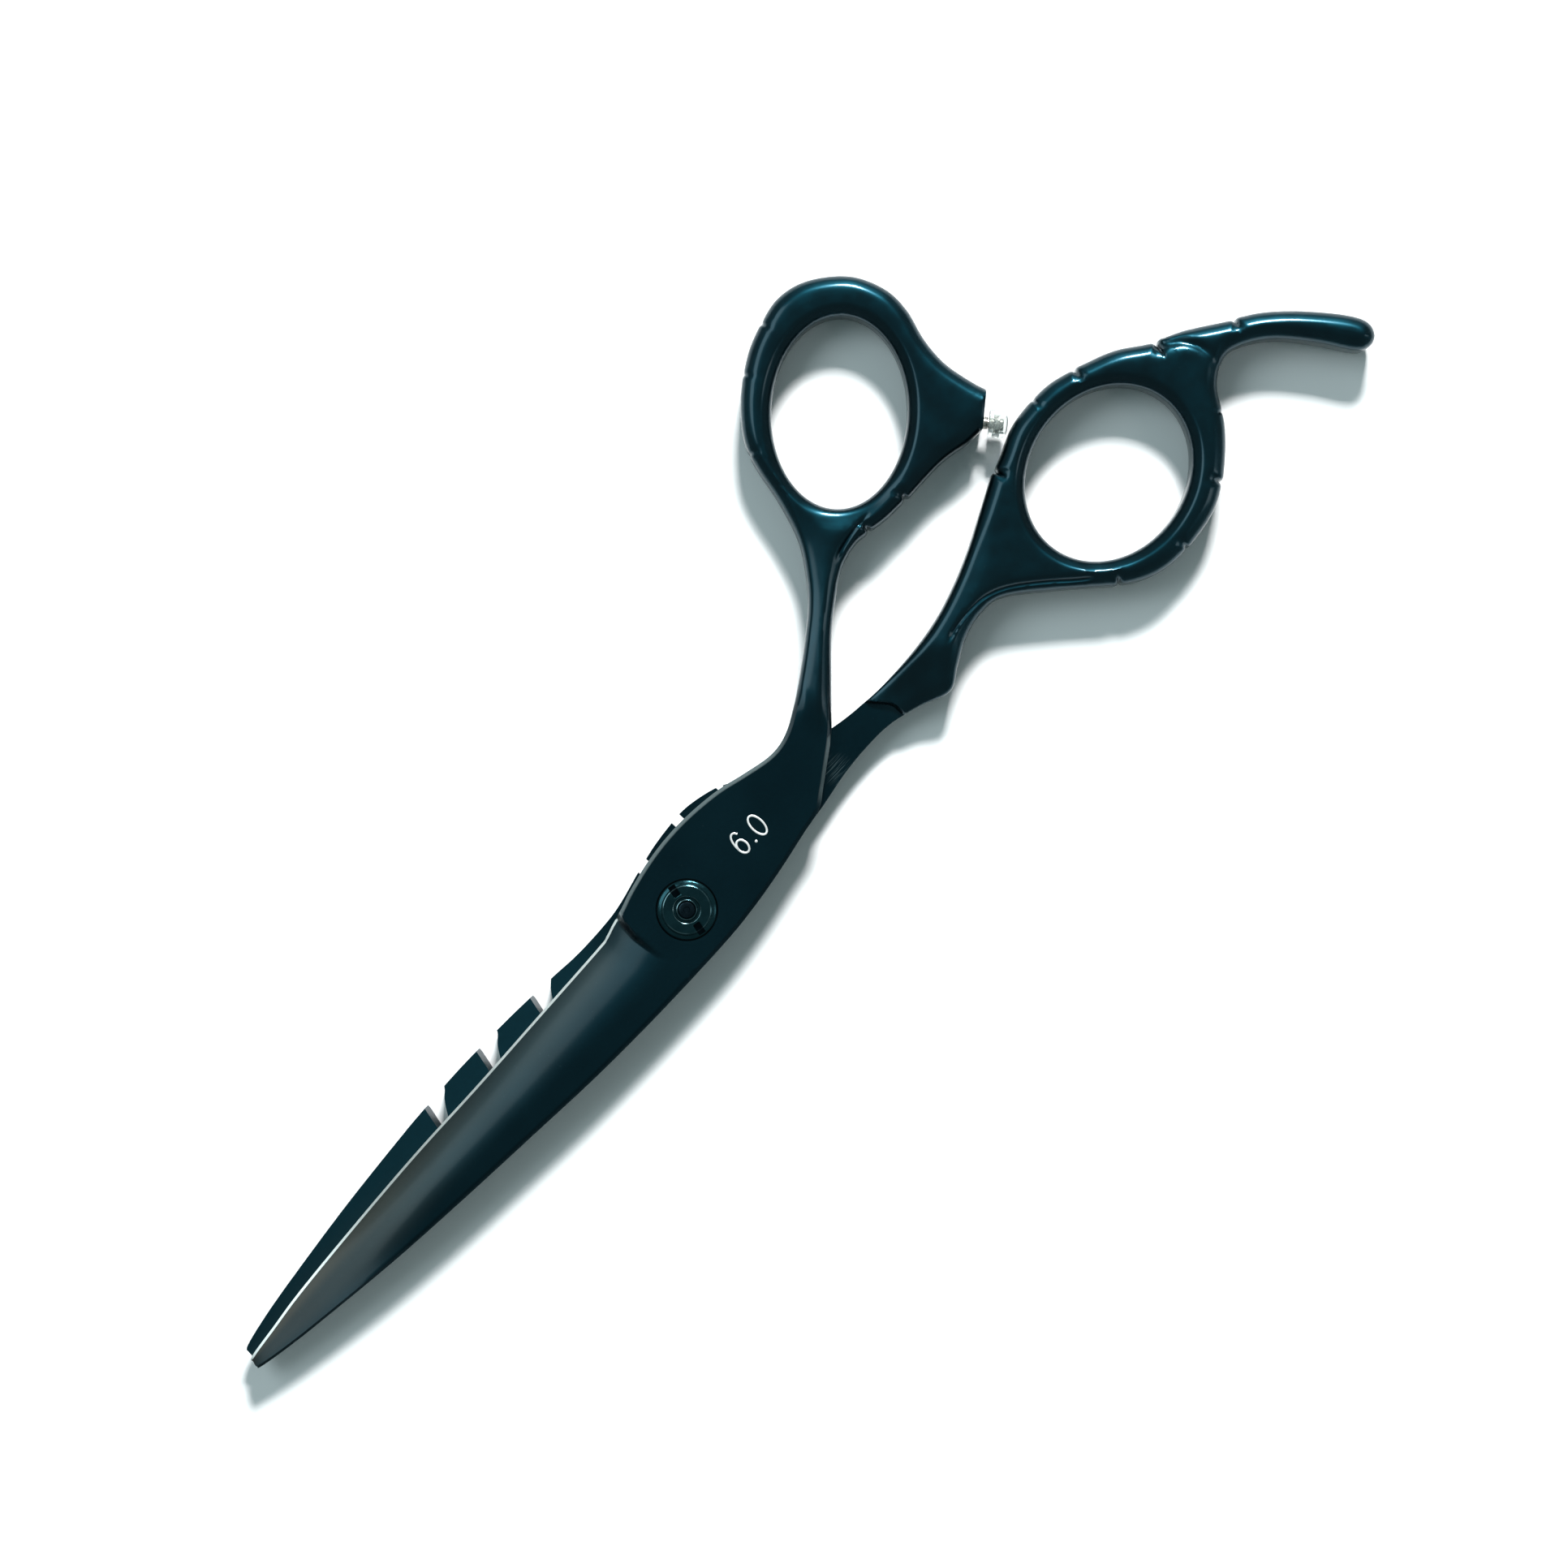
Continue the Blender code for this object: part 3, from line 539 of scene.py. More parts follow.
def finish_tree(tree, geometry_out, material):
    """Ends a tree in its material."""
    paint = add_node(tree, "GeometryNodeSetMaterial", Geometry=geometry_out, Material=material)
    add_node(tree, "NodeGroupOutput", Geometry=paint.outputs["Geometry"])
    return tree


def with_tree(piece, tree, **values):
    """The piece as a plain mesh, run through a tree with these values for its inputs."""
    modifier = piece.modifiers.new(tree.name, "NODES")
    modifier.node_group = tree
    for label, value in values.items():
        socket = next(item for item in tree.interface.items_tree if item.name == label)
        modifier[socket.identifier] = value
    return plain_copy(piece.name, piece)


def gap_tree(material):
    """Puts an upright bar with rounded ends on every point: the cutters of the tooth gaps."""
    tree, size = new_tree("tooth_gap_bars", Width="Float", Length="Float", Height="Float")
    outline = add_node(tree, "GeometryNodeCurvePrimitiveQuadrilateral", Width=size["Width"],
                       Height=size["Length"])
    half = add_node(tree, "ShaderNodeMath", [("operation", "MULTIPLY")], Value=size["Width"])
    half.inputs[1].default_value = 0.499
    fillet = add_node(tree, "GeometryNodeFilletCurve", [("mode", "POLY")], Curve=outline.outputs["Curve"],
                      Radius=half.outputs["Value"], Count=5)
    rise = add_node(tree, "ShaderNodeCombineXYZ", Z=size["Height"])
    rail = add_node(tree, "GeometryNodeCurvePrimitiveLine", End=rise.outputs["Vector"])
    bar = add_node(tree, "GeometryNodeCurveToMesh", Curve=rail.outputs["Curve"],
                   Profile_Curve=fillet.outputs["Curve"], Fill_Caps=True)
    row = add_node(tree, "GeometryNodeInstanceOnPoints", Points=size["Geometry"], Instance=bar.outputs["Mesh"])
    real = add_node(tree, "GeometryNodeRealizeInstances", Geometry=row.outputs["Instances"])
    return finish_tree(tree, real.outputs["Geometry"], material)


def tooth_gap_cutter(material):
    """The gaps of the thinning teeth: one bar for each, its round end at the gap's floor."""
    edge_y = height_of(REAR_EDGE)
    count = round((LAST_GAP - FIRST_GAP) / TOOTH_PITCH) + 1
    places = []
    for x in FIRST_GAP + TOOTH_PITCH * np.arange(count):
        share = (x - FIRST_GAP) / (LAST_GAP - FIRST_GAP)
        depth = GAP_DEPTH_TIP + (GAP_DEPTH_HEEL - GAP_DEPTH_TIP) * min(1.0, GAP_DEEPENING * share)
        places.append((x, float(edge_y(x)) + depth - GAP_BAR_LENGTH / 2, RIDE - GAP_BAR_START))
    row = new_object("tooth_gap_cutter", mesh_of("tooth_gap_cutter", places, []))
    row = with_tree(row, gap_tree(material), Width=GAP_WIDTH * MM, Length=GAP_BAR_LENGTH * MM,
                    Height=GAP_BAR_HEIGHT * MM)
    bm = bmesh.new()
    bm.from_mesh(row.data)
    bmesh.ops.remove_doubles(bm, verts=bm.verts, dist=1e-7)
    bmesh.ops.recalc_face_normals(bm, faces=bm.faces)
    bm.to_mesh(row.data)
    bm.free()
    return row


def thread_tree(material):
    """Stacks rounded rings along a line: the ridges of a fine thread."""
    tree, size = new_tree("thread_ridges", Count="Int", Radius="Float", Pitch="Float", Ridge="Float",
                          Start="Vector")
    rise = add_node(tree, "ShaderNodeCombineXYZ", Z=size["Pitch"])
    row = add_node(tree, "GeometryNodeMeshLine", Count=size["Count"], Start_Location=size["Start"],
                   Offset=rise.outputs["Vector"])
    ring = add_node(tree, "GeometryNodeCurvePrimitiveCircle", Resolution=48, Radius=size["Radius"])
    section = add_node(tree, "GeometryNodeCurvePrimitiveCircle", Resolution=6, Radius=size["Ridge"])
    ridge = add_node(tree, "GeometryNodeCurveToMesh", Curve=ring.outputs["Curve"],
                     Profile_Curve=section.outputs["Curve"])
    stack = add_node(tree, "GeometryNodeInstanceOnPoints", Points=row.outputs["Mesh"],
                     Instance=ridge.outputs["Mesh"])
    real = add_node(tree, "GeometryNodeRealizeInstances", Geometry=stack.outputs["Instances"])
    both = add_node(tree, "GeometryNodeJoinGeometry", Geometry=size["Geometry"])
    tree.links.new(real.outputs["Geometry"], both.inputs["Geometry"])
    return finish_tree(tree, both.outputs["Geometry"], material)


def with_thread(piece, material, count, radius, pitch, ridge, start):
    """The piece with ridges of a thread about the Z axis, upwards from the start."""
    tree = bpy.data.node_groups.get("thread_ridges") or thread_tree(material)
    return with_tree(piece, tree, Count=count, Radius=radius * MM, Pitch=pitch * MM, Ridge=ridge * MM,
                     Start=(0.0, 0.0, start * MM))


# ---------------------------------------------------------------- the two halves

FRONT_EDGE_Y, FRONT_SPINE_Y = height_of(FRONT_EDGE), height_of(FRONT_SPINE)
REAR_EDGE_Y, REAR_SPINE_Y = height_of(REAR_EDGE), height_of(REAR_SPINE)


def section_height(gap, section):
    """Height as a share of the half thickness, at a gap from a border."""
    return np.interp(gap, *zip(*section))


def least(a, b, blend=0.035):
    """The smaller of two heights with the corner between them rounded."""
    share = np.clip(0.5 + 0.5 * (b - a) / blend, 0, 1)
    return b + (a - b) * share - blend * share * (1 - share)


def thickness_at(x):
    """Thickness of a blade along its spine, tapering over the last stretch to the tip."""
    share = np.clip((x - FRONT_TIP) / TAPER_LENGTH, 0, 1)
    return TIP_THICKNESS + (PLATE - TIP_THICKNESS) * np.sin(math.pi / 2 * share)**0.8


def plunge_at(y):
    """x of the line where the ground blade meets the flat plate."""
    return np.interp(y, [-6, -2.5, -1, 2, 4.0, 4.95], [-5.0, -5.75, -6.3, -6.6, -6.45, -6.1])


def plunge_points():
    """Close-set points over the step from the ground blade to the plate."""
    y = np.arange(-5.5, 5.5, 0.22)
    return beside(np.column_stack([plunge_at(y), y]), PLUNGE_ROWS)


def outer_face(points, edge_y, spine_y, rim):
    """Height of a half's outer face over the ride plane, over the blade and the plate."""
    x, y = points.T
    width = spine_y(x) - edge_y(x)
    across = np.clip((y - edge_y(x)) / width, 0, 1)
    thick = thickness_at(x)
    convex = 1 - (1 - np.clip(across / GRIND_WIDTH, 0, 1))**2
    convex += step_between(-x, *GRIND_FLATTENS) * (across - convex)
    ground = EDGE_THICKNESS + (thick - EDGE_THICKNESS) * convex
    to_spine = np.abs(y - spine_y(x))
    ground = np.minimum(ground, thick - SPINE_BEVEL_DROP * np.clip(1 - to_spine / SPINE_BEVEL, 0, 1))
    drop = SPINE_BEVEL_DROP + (PLATE_BEVEL_DROP - SPINE_BEVEL_DROP) * step_between(y, -2, 2)
    plate = thick - drop * np.clip(1 - rim / PLATE_BEVEL, 0, 1)
    flat = step_between(x - plunge_at(y), 0, PLUNGE_WIDTH)
    return ground + flat * (plate - ground)


def inner_hollow(points, edge_y, spine_y):
    """Depth of the hollow grind of the inner face, none around the pivot."""
    x, y = points.T
    across = np.clip((y - edge_y(x)) / (spine_y(x) - edge_y(x)), 0, 1)
    return HOLLOW * np.sin(math.pi * across) * (1 - step_between(x, -12, -7))


def shank_top(points, side, section, share):
    """Height of a shank's top, which slopes gently up from the border on the side towards +Y."""
    gap = distance(points, evenly(smoothed(side), closed=False), closed=False)
    return 1 + share * (section_height(gap, section) - 1)


def handle_height(rim, hole, shank, grooves, root=0.0):
    """Half thickness of a handle, where root says how wide the slope from the hole is, at the ring's root."""
    inner = section_height(hole, HOLE_SECTION)
    inner += root * (section_height(hole, ROOT_SECTION) - inner)
    return HANDLE_HALF * least(least(section_height(rim, OUTER_SECTION), shank), inner) - grooves


def front_outline():
    """The upper half's border, once round."""
    line = smoothed([*FRONT_EDGE, *FRONT_HANDLE, *FRONT_SPINE[::-1]], corners=SHARP_CORNERS, closed=True)
    return counterclockwise(evenly(line))


def rear_outline():
    """The lower half's border, once round."""
    line = smoothed([*REAR_SPINE, *REAR_HANDLE, *REAR_EDGE[::-1]], corners=SHARP_CORNERS, closed=True)
    return counterclockwise(evenly(line))


def without_lobe_face(line):
    """The border as an open line that leaves out the bumper's flat."""
    face = distance(line, np.array(LOBE_FACE, float), closed=False) < 0.02
    last = np.flatnonzero(face).max()
    rolled = np.roll(line, -last, axis=0)
    return rolled[~np.roll(face, -last) | (np.arange(len(line)) == 0)]


def past_the_crossing(x, y):
    """How far a point of the upper shank lies past the corner where it leaves the lower half."""
    way = math.radians(SHANK_WAY)
    return (x - CROSSING[0]) * math.cos(way) + (y - CROSSING[1]) * math.sin(way)


def front_half_body():
    """The upper blade, plate and handle, with its border and the border of its hole."""
    plain = front_outline()
    joints = joint_frames(plain, FRONT_JOINTS)
    border = with_joints(plain, joints)
    hole_line = ellipse(*THUMB_HOLE)[::-1].copy()
    open_border = without_lobe_face(border)
    crease = evenly(smoothed(FRONT_CREASE), 0.2, closed=False)

    def faces_of(points):
        x, y = points.T
        rim, hole = distance(points, open_border, closed=False), distance(points, hole_line)
        face = distance(points, np.array(LOBE_FACE, float), closed=False)
        shank = shank_top(points, [*FRONT_EDGE[-2:], *FRONT_HANDLE[:9]], FRONT_SHANK_SECTION,
                          step_between(x, 24, 27) * (1 - step_between(y, 18, 27)))
        cuts = joint_grooves(points, joints) + crease_depth(points, crease)
        root = (1 - step_between(y, 17, 25)) * (1 - step_between(x, 46, 54))
        handle = handle_height(rim, hole, shank, cuts, root)
        handle = np.minimum(handle, HANDLE_HALF * section_height(face, FACE_SECTION))
        plate = outer_face(points, FRONT_EDGE_Y, FRONT_SPINE_Y, rim)
        grip = step_between(x + 0.25 * (y - 4), 22.8, 28.5)
        top = RIDE + plate + grip * (handle - plate)
        drop = step_between(past_the_crossing(x, y), *SHANK_DROP)
        bottom = RIDE + RIDE_GAP + inner_hollow(points, FRONT_EDGE_Y, FRONT_SPINE_Y) * (x < 0)
        bottom -= drop * (handle + RIDE_GAP)
        return top, np.minimum(bottom, top - LEAST_THICKNESS)

    extra = np.vstack([joint_points(joints), plunge_points(), beside(crease, CREASE_ROWS)])
    body = plate_solid("front_half_body", border, [hole_line], extra, faces_of)
    seat = turned("seat_cutter", [
        (0, RIDE + 6), (DIAL_SEAT, RIDE + 6), (DIAL_SEAT, SEAT_HEIGHT), (BORE, SEAT_HEIGHT), (BORE, RIDE - 2),
        (0, RIDE - 2)])
    recess = turned("recess_cutter", [
        (0, RIDE + WASHER_RECESS), (WASHER_RECESS_RADIUS, RIDE + WASHER_RECESS),
        (WASHER_RECESS_RADIUS, RIDE - 1), (0, RIDE - 1)])
    stem = turned("stem_cutter", [(0, 2), (0.74, 2), (0.74, -2.8), (0, -2.8)], 32, bumper_place())
    return carved(body, seat, recess, stem), open_border, hole_line


def slot_outline(front, back):
    """One slot of the spine: a straight wall towards the tip, a round floor and a wall that curves away."""
    radius = SLOT_FLOOR_RADIUS
    centre = (front - SLOT_FRONT_LEAN + radius - 0.1, SLOT_FLOOR + radius)
    around = [math.pi * i / 10 for i in range(11)]
    arc = [(centre[0] - radius * math.cos(a), centre[1] - radius * math.sin(a)) for a in around]
    wall = smoothed([(back + offset, y) for offset, y in reversed(SLOT_BACK_WALL)], steps=4).tolist()
    return [(front + 0.25, SLOT_TOP), *arc, *wall]


def plate_slot_outline(front, back):
    """One of the shallow slots in the plate's border."""
    corner = min(0.3, (back - front) / 3)
    return [(front, SLOT_TOP + 2), (front, PLATE_SLOT_FLOOR + corner), (front + corner, PLATE_SLOT_FLOOR),
            (back - corner, PLATE_SLOT_FLOOR), (back, PLATE_SLOT_FLOOR + corner), (back, SLOT_TOP + 2)]


def slot_cutter():
    """The slots of the spine, wider at the ride face on the tip side."""
    made = []
    for i, (front, back) in enumerate(SPINE_SLOTS):
        lower = slot_outline(front, back)
        upper = [(x - SLOT_WALL_SLOPE, y) if k < 5 else (x, y) for k, (x, y) in enumerate(lower)]
        made.append(prism(f"slot_{i}", lower, upper, 0.0, RIDE + 0.6))
    for i, (front, back) in enumerate(PLATE_SLOTS):
        line = plate_slot_outline(front, back)
        made.append(prism(f"plate_slot_{i}", line, line, -1.0, RIDE + 1))
    return joined("slot_cutter", made)


def shoulder_at(y):
    """x of the line where the rear ride face ends and the handle rises."""
    return 30.0 + 1.9 * step_between(1.7 - y, -0.4, 2.8)


def rear_half_body(scratch):
    """The toothed blade, plate and handle, with its border and the border of its hole."""
    plain = rear_outline()
    joints = joint_frames(plain, REAR_JOINTS)
    border = with_joints(plain, joints)
    hole_line = ellipse(*FINGER_HOLE)[::-1].copy()
    fold = evenly(smoothed(REAR_FOLD), 0.2, closed=False)
    crease = evenly(smoothed(REAR_CREASE), 0.2, closed=False)

    def faces_of(points):
        x, y = points.T
        rim, hole = distance(points, border), distance(points, hole_line)
        folded = FOLD_DEPTH * np.exp(-(distance(points, fold, closed=False) / FOLD_WIDTH)**2)
        folded *= 0.2 + 0.8 * step_between(y, -0.2, 2.5)
        cuts = np.maximum(joint_grooves(points, joints), folded) + crease_depth(points, crease)
        shank = shank_top(points, [*REAR_SPINE[-2:], *REAR_HANDLE[:8]], REAR_SHANK_SECTION,
                          step_between(x, 30, 33) * (1 - step_between(x, 50, 57)))
        handle = handle_height(rim, hole, shank, cuts)
        plate = outer_face(points, REAR_EDGE_Y, REAR_SPINE_Y, rim)
        past = x - shoulder_at(y)
        rise = 0.26 * step_between(past, 0, 0.4) + 0.74 * step_between(past, 0.1, 10)
        inner = -RIDE_GAP - inner_hollow(points, REAR_EDGE_Y, REAR_SPINE_Y) * (x < 0)
        top = RIDE + inner + rise * (handle - inner)
        grip = step_between(x, 28, 34)
        bottom = RIDE - RIDE_GAP - plate - grip * (handle - RIDE_GAP - plate)
        return top, np.minimum(bottom, top - LEAST_THICKNESS)

    level = np.arange(-3.5, 2.6, 0.25)
    extra = np.vstack([joint_points(joints), beside(fold, FOLD_ROWS),
                       beside(crease, CREASE_ROWS), plunge_points(),
                       *[np.column_stack([shoulder_at(level) + gap, level]) for gap in SHOULDER_ROWS]])
    body = plate_solid("rear_half_body", border, [hole_line], extra, faces_of)
    bore = turned("bore_cutter", [
        (0, RIDE + 3), (STUD_BORE, RIDE + 3), (STUD_BORE, HEAD_TOP), (HEAD_SEAT, HEAD_TOP), (HEAD_SEAT, -3),
        (0, -3)])
    recess = turned("recess_cutter", [
        (0, RIDE + 1), (WASHER_RECESS_RADIUS, RIDE + 1), (WASHER_RECESS_RADIUS, RIDE - WASHER_RECESS),
        (0, RIDE - WASHER_RECESS)])
    return carved(body, bore, recess, slot_cutter(), tooth_gap_cutter(scratch)), border, hole_line


def ground_band_and_sheen(x, y, edge_y, spine_y):
    """How much of the lighter band beside the cutting edge shows, wider to the tip: partly a thinner coating,
    partly a painted reflection of the light on the convex grind.
    """
    across = np.clip((y - edge_y(x)) / (spine_y(x) - edge_y(x)), 0, 1)
    tipward = step_between(-x, 29, 63)
    heel = step_between(x, -26, -8)
    band = 1 - step_between(across, 0.3 + 0.25 * tipward - 0.2 * heel, 0.72 + 0.45 * tipward - 0.16 * heel)
    band *= 1 - 0.6 * step_between(across, 0.1, 0.42)
    band *= 1 - 0.6 * step_between(x, -12, -7.5)
    return band * (1 - step_between(x - plunge_at(y), -0.1, 0.3))


def painted_bevel_highlight(x, y, rim):
    """Painted highlight on the upper plate's bevels, standing in for the lit floor that they reflect: along the
    thumb ring's side, and by the crossing of the shanks.
    """
    upper = (y > 3) * step_between(x, -7, -5.5) * (1 - step_between(x, 17, 24))
    lower = 0.7 * (y < 2) * step_between(x, 18, 20) * (1 - step_between(x, 24, 26))
    return (rim < BEVEL_HIGHLIGHT_WIDTH) * np.maximum(upper, lower)


def mark_surface(piece, border, hole_line, edge_y, spine_y, toothed):
    """Writes the attributes that the finish follows. The upper half's border is open at the bumper's flat."""
    mesh = piece.data
    co = np.empty(len(mesh.vertices) * 3, np.float32)
    mesh.vertices.foreach_get("co", co)
    points = co.reshape(-1, 3).astype(float) / MM
    x, y, z = points.T
    rim = distance(points[:, :2], border, closed=toothed)
    hole = distance(points[:, :2], hole_line)
    fields = {
        "rim": np.minimum(rim, hole),
        "edge": np.where(x < plunge_at(y), np.abs(y - edge_y(x)), AWAY_FROM_EDGE),
        # ground: the lighter band by the cutting edge, partly a thinner coating and partly painted reflection.
        "ground": ground_band_and_sheen(x, y, edge_y, spine_y),
        "inner": toothed * step_between(-x, 5, 14) * (z > 2) * (y > 0),
        "tipward": step_between(-x, 25, 66),
        # bevel: a painted highlight on the upper plate's bevels.
        "bevel_highlight": 0 * rim if toothed else painted_bevel_highlight(x, y, rim),
        "grip": step_between(x, 29.5, 32) if toothed else step_between(x, 24, 27),
    }
    for label, values in fields.items():
        layer = mesh.attributes.new(label, "FLOAT", "POINT")
        layer.data.foreach_set("value", values.astype(np.float32))


# ---------------------------------------------------------------- small pieces

def bumper_place():
    """Puts a piece turned about Z on the lobe's flat, pointing at the finger ring."""
    base = Matrix.Translation((BUMPER_BASE[0] * MM, BUMPER_BASE[1] * MM, RIDE * MM))
    turn = Matrix.Rotation(math.radians(BUMPER_TURN), 4, "Z")
    return base @ turn @ Matrix.Rotation(math.radians(90), 4, "Y")


def arc_points(centre, radii, start, end, count):
    """Points along an arc of an ellipse, with its two ends in degrees."""
    angles = np.radians(np.linspace(start, end, count))
    return [(centre[0] + radii[0] * math.cos(a), centre[1] + radii[1] * math.sin(a)) for a in angles]


def size_mark(material):
    """The size number 6.0 as thin strokes lying on the plate."""
    unit = MARK_HEIGHT / 2
    bowl = arc_points((0.44, 0.635), (0.44, 0.635), 180, 540, 25)
    tail = [(0.0, 0.66), (0.01, 1.1), (0.1, 1.55), (0.27, 1.87), (0.48, 2.0), (0.7, 1.93), (0.85, 1.68)]
    zero = arc_points((2.57, 1.0), (0.51, 1.0), 90, 450, 33)
    dot = arc_points((1.53, 0.13), (0.04, 0.04), 0, 360, 9)
    data = bpy.data.curves.new("size_mark", "CURVE")
    data.dimensions = "3D"
    data.bevel_depth = MARK_STROKE * MM
    data.bevel_resolution = 3
    data.use_fill_caps = True
    strokes = [(bowl[:-1], True), (smoothed(tail, 4).tolist(), False), (zero[:-1], True), (dot[:-1], True)]
    for line, cyclic in strokes:
        spline = data.splines.new("POLY")
        spline.points.add(len(line) - 1)
        for point, (u, v) in zip(spline.points, line):
            point.co = ((MARK_START[0] + u * unit) * MM, (MARK_START[1] + v * unit) * MM, 0.0, 1.0)
        spline.use_cyclic_u = cyclic
    curve = new_object("size_mark_curve", data)
    curve.matrix_world = Matrix.Translation((0, 0, (RIDE + PLATE) * MM)) @ Matrix.Diagonal((1, 1, 0.22, 1))
    made = plain_copy("size_mark", curve)
    made.data.materials.clear()
    made.data.materials.append(material)
    smooth_faces(made.data, 60)
    return made


def dial_slot_outline(grown, turn):
    """One slot of the dial in plan, running outwards at an angle and grown by a margin."""
    inner, outer, half = DIAL_SLOT_INNER - grown, DIAL_SLOT_OUTER + grown, DIAL_SLOT_HALF_WIDTH + grown
    along, across = (math.cos(turn), math.sin(turn)), (-math.sin(turn), math.cos(turn))
    corners = [(inner + 0.1, -half), (outer, -half), (outer, half), (inner + 0.1, half), (inner, half - 0.1),
               (inner, 0.1 - half)]
    return [(u * along[0] + v * across[0], u * along[1] + v * across[1]) for u, v in corners]


def tension_dial():
    """A collar, a groove, a raised ring with two slots and a chamfer, and a ledge down to the flange."""
    body = turned("tension_dial_body", [
        (0.98, 5.94), (1.00, 5.96), (1.07, 5.96), (1.09, 5.955), (1.14, 5.93), (1.17, 5.88), (1.19, 5.64),
        (1.23, 5.60), (1.42, 5.60), (1.45, 5.63), (1.47, 5.78), (1.49, 5.805), (1.55, 5.836), (1.60, 5.84),
        (2.56, 5.84), (2.59, 5.837), (2.62, 5.825), (2.74, 5.765), (2.77, 5.74), (2.80, 5.68), (2.83, 5.65),
        (3.12, 5.567), (3.20, 5.52), (3.28, 5.43), (3.28, DIAL_BASE + 0.06), (3.22, DIAL_BASE),
        (0.98, DIAL_BASE)], 128)
    slots = []
    for i, half_turn in enumerate((math.pi, 0)):
        turn = math.radians(DIAL_SLOT_TURN) + half_turn
        plain = dial_slot_outline(0, turn)
        slots.append(prism(f"dial_slot_{i}", plain, plain, DIAL_SLOT_FLOOR, 5.79))
        slots.append(prism(f"dial_slot_edge_{i}", plain, dial_slot_outline(0.5, turn), 5.78, 6.08))
    return carved(body, *slots)


def stud_body(material):
    """The stud with its flat head, its shank and its threaded end."""
    body = turned("pivot_stud_body", [
        (0, 5.80), (0.30, 5.80), (0.36, 5.86), (0.72, 5.88), (0.86, 5.84), (0.88, 5.78), (0.88, 4.35),
        (1.82, 4.35), (1.90, 4.27), (1.90, 1.27), (3.5, 1.27), (3.6, 1.17), (3.6, 0.35), (3.5, 0.12),
        (3.25, 0.0), (2.4, 0.0), (2.35, 0.06), (2.2, 0.06), (2.15, 0.0), (0, 0)], 128)
    return with_thread(body, material, 12, 0.88, 0.11, 0.045, 4.5)


def bumper_screw_body(material):
    """The bumper's pin, with a knob inside the pad, a collar and a threaded stem."""
    body = turned("bumper_screw_body", [
        (0, 2.2), (0.6, 2.2), (0.68, 2.12), (0.68, 1.9), (0.98, 1.9), (1.05, 1.83), (1.05, 1.27), (0.98, 1.2),
        (0.62, 1.2), (0.62, 0.5), (0.68, 0.4), (0.68, -2.6), (0.5, -2.75), (0, -2.75)], 48)
    made = with_thread(body, material, 16, 0.67, 0.2, 0.05, -2.5)
    made.data.transform(bumper_place())
    return made


def bumper_pad_body():
    """The bumper's domed pad, hollow around the pin's knob."""
    return turned("bumper_pad_body", [
        (0, 2.8), (0.75, 2.8), (1.05, 2.74), (1.32, 2.58), (1.48, 2.38), (1.55, 2.1), (1.55, 1.5), (1.5, 1.4),
        (1.55, 1.3), (1.55, 0.85), (1.5, 0.74), (1.4, 0.7), (0.74, 0.7), (0.74, 1.14), (1.11, 1.14),
        (1.11, 1.96), (0.74, 1.96), (0.74, 2.26), (0, 2.26)], 64, bumper_place())


# ---------------------------------------------------------------- finishes

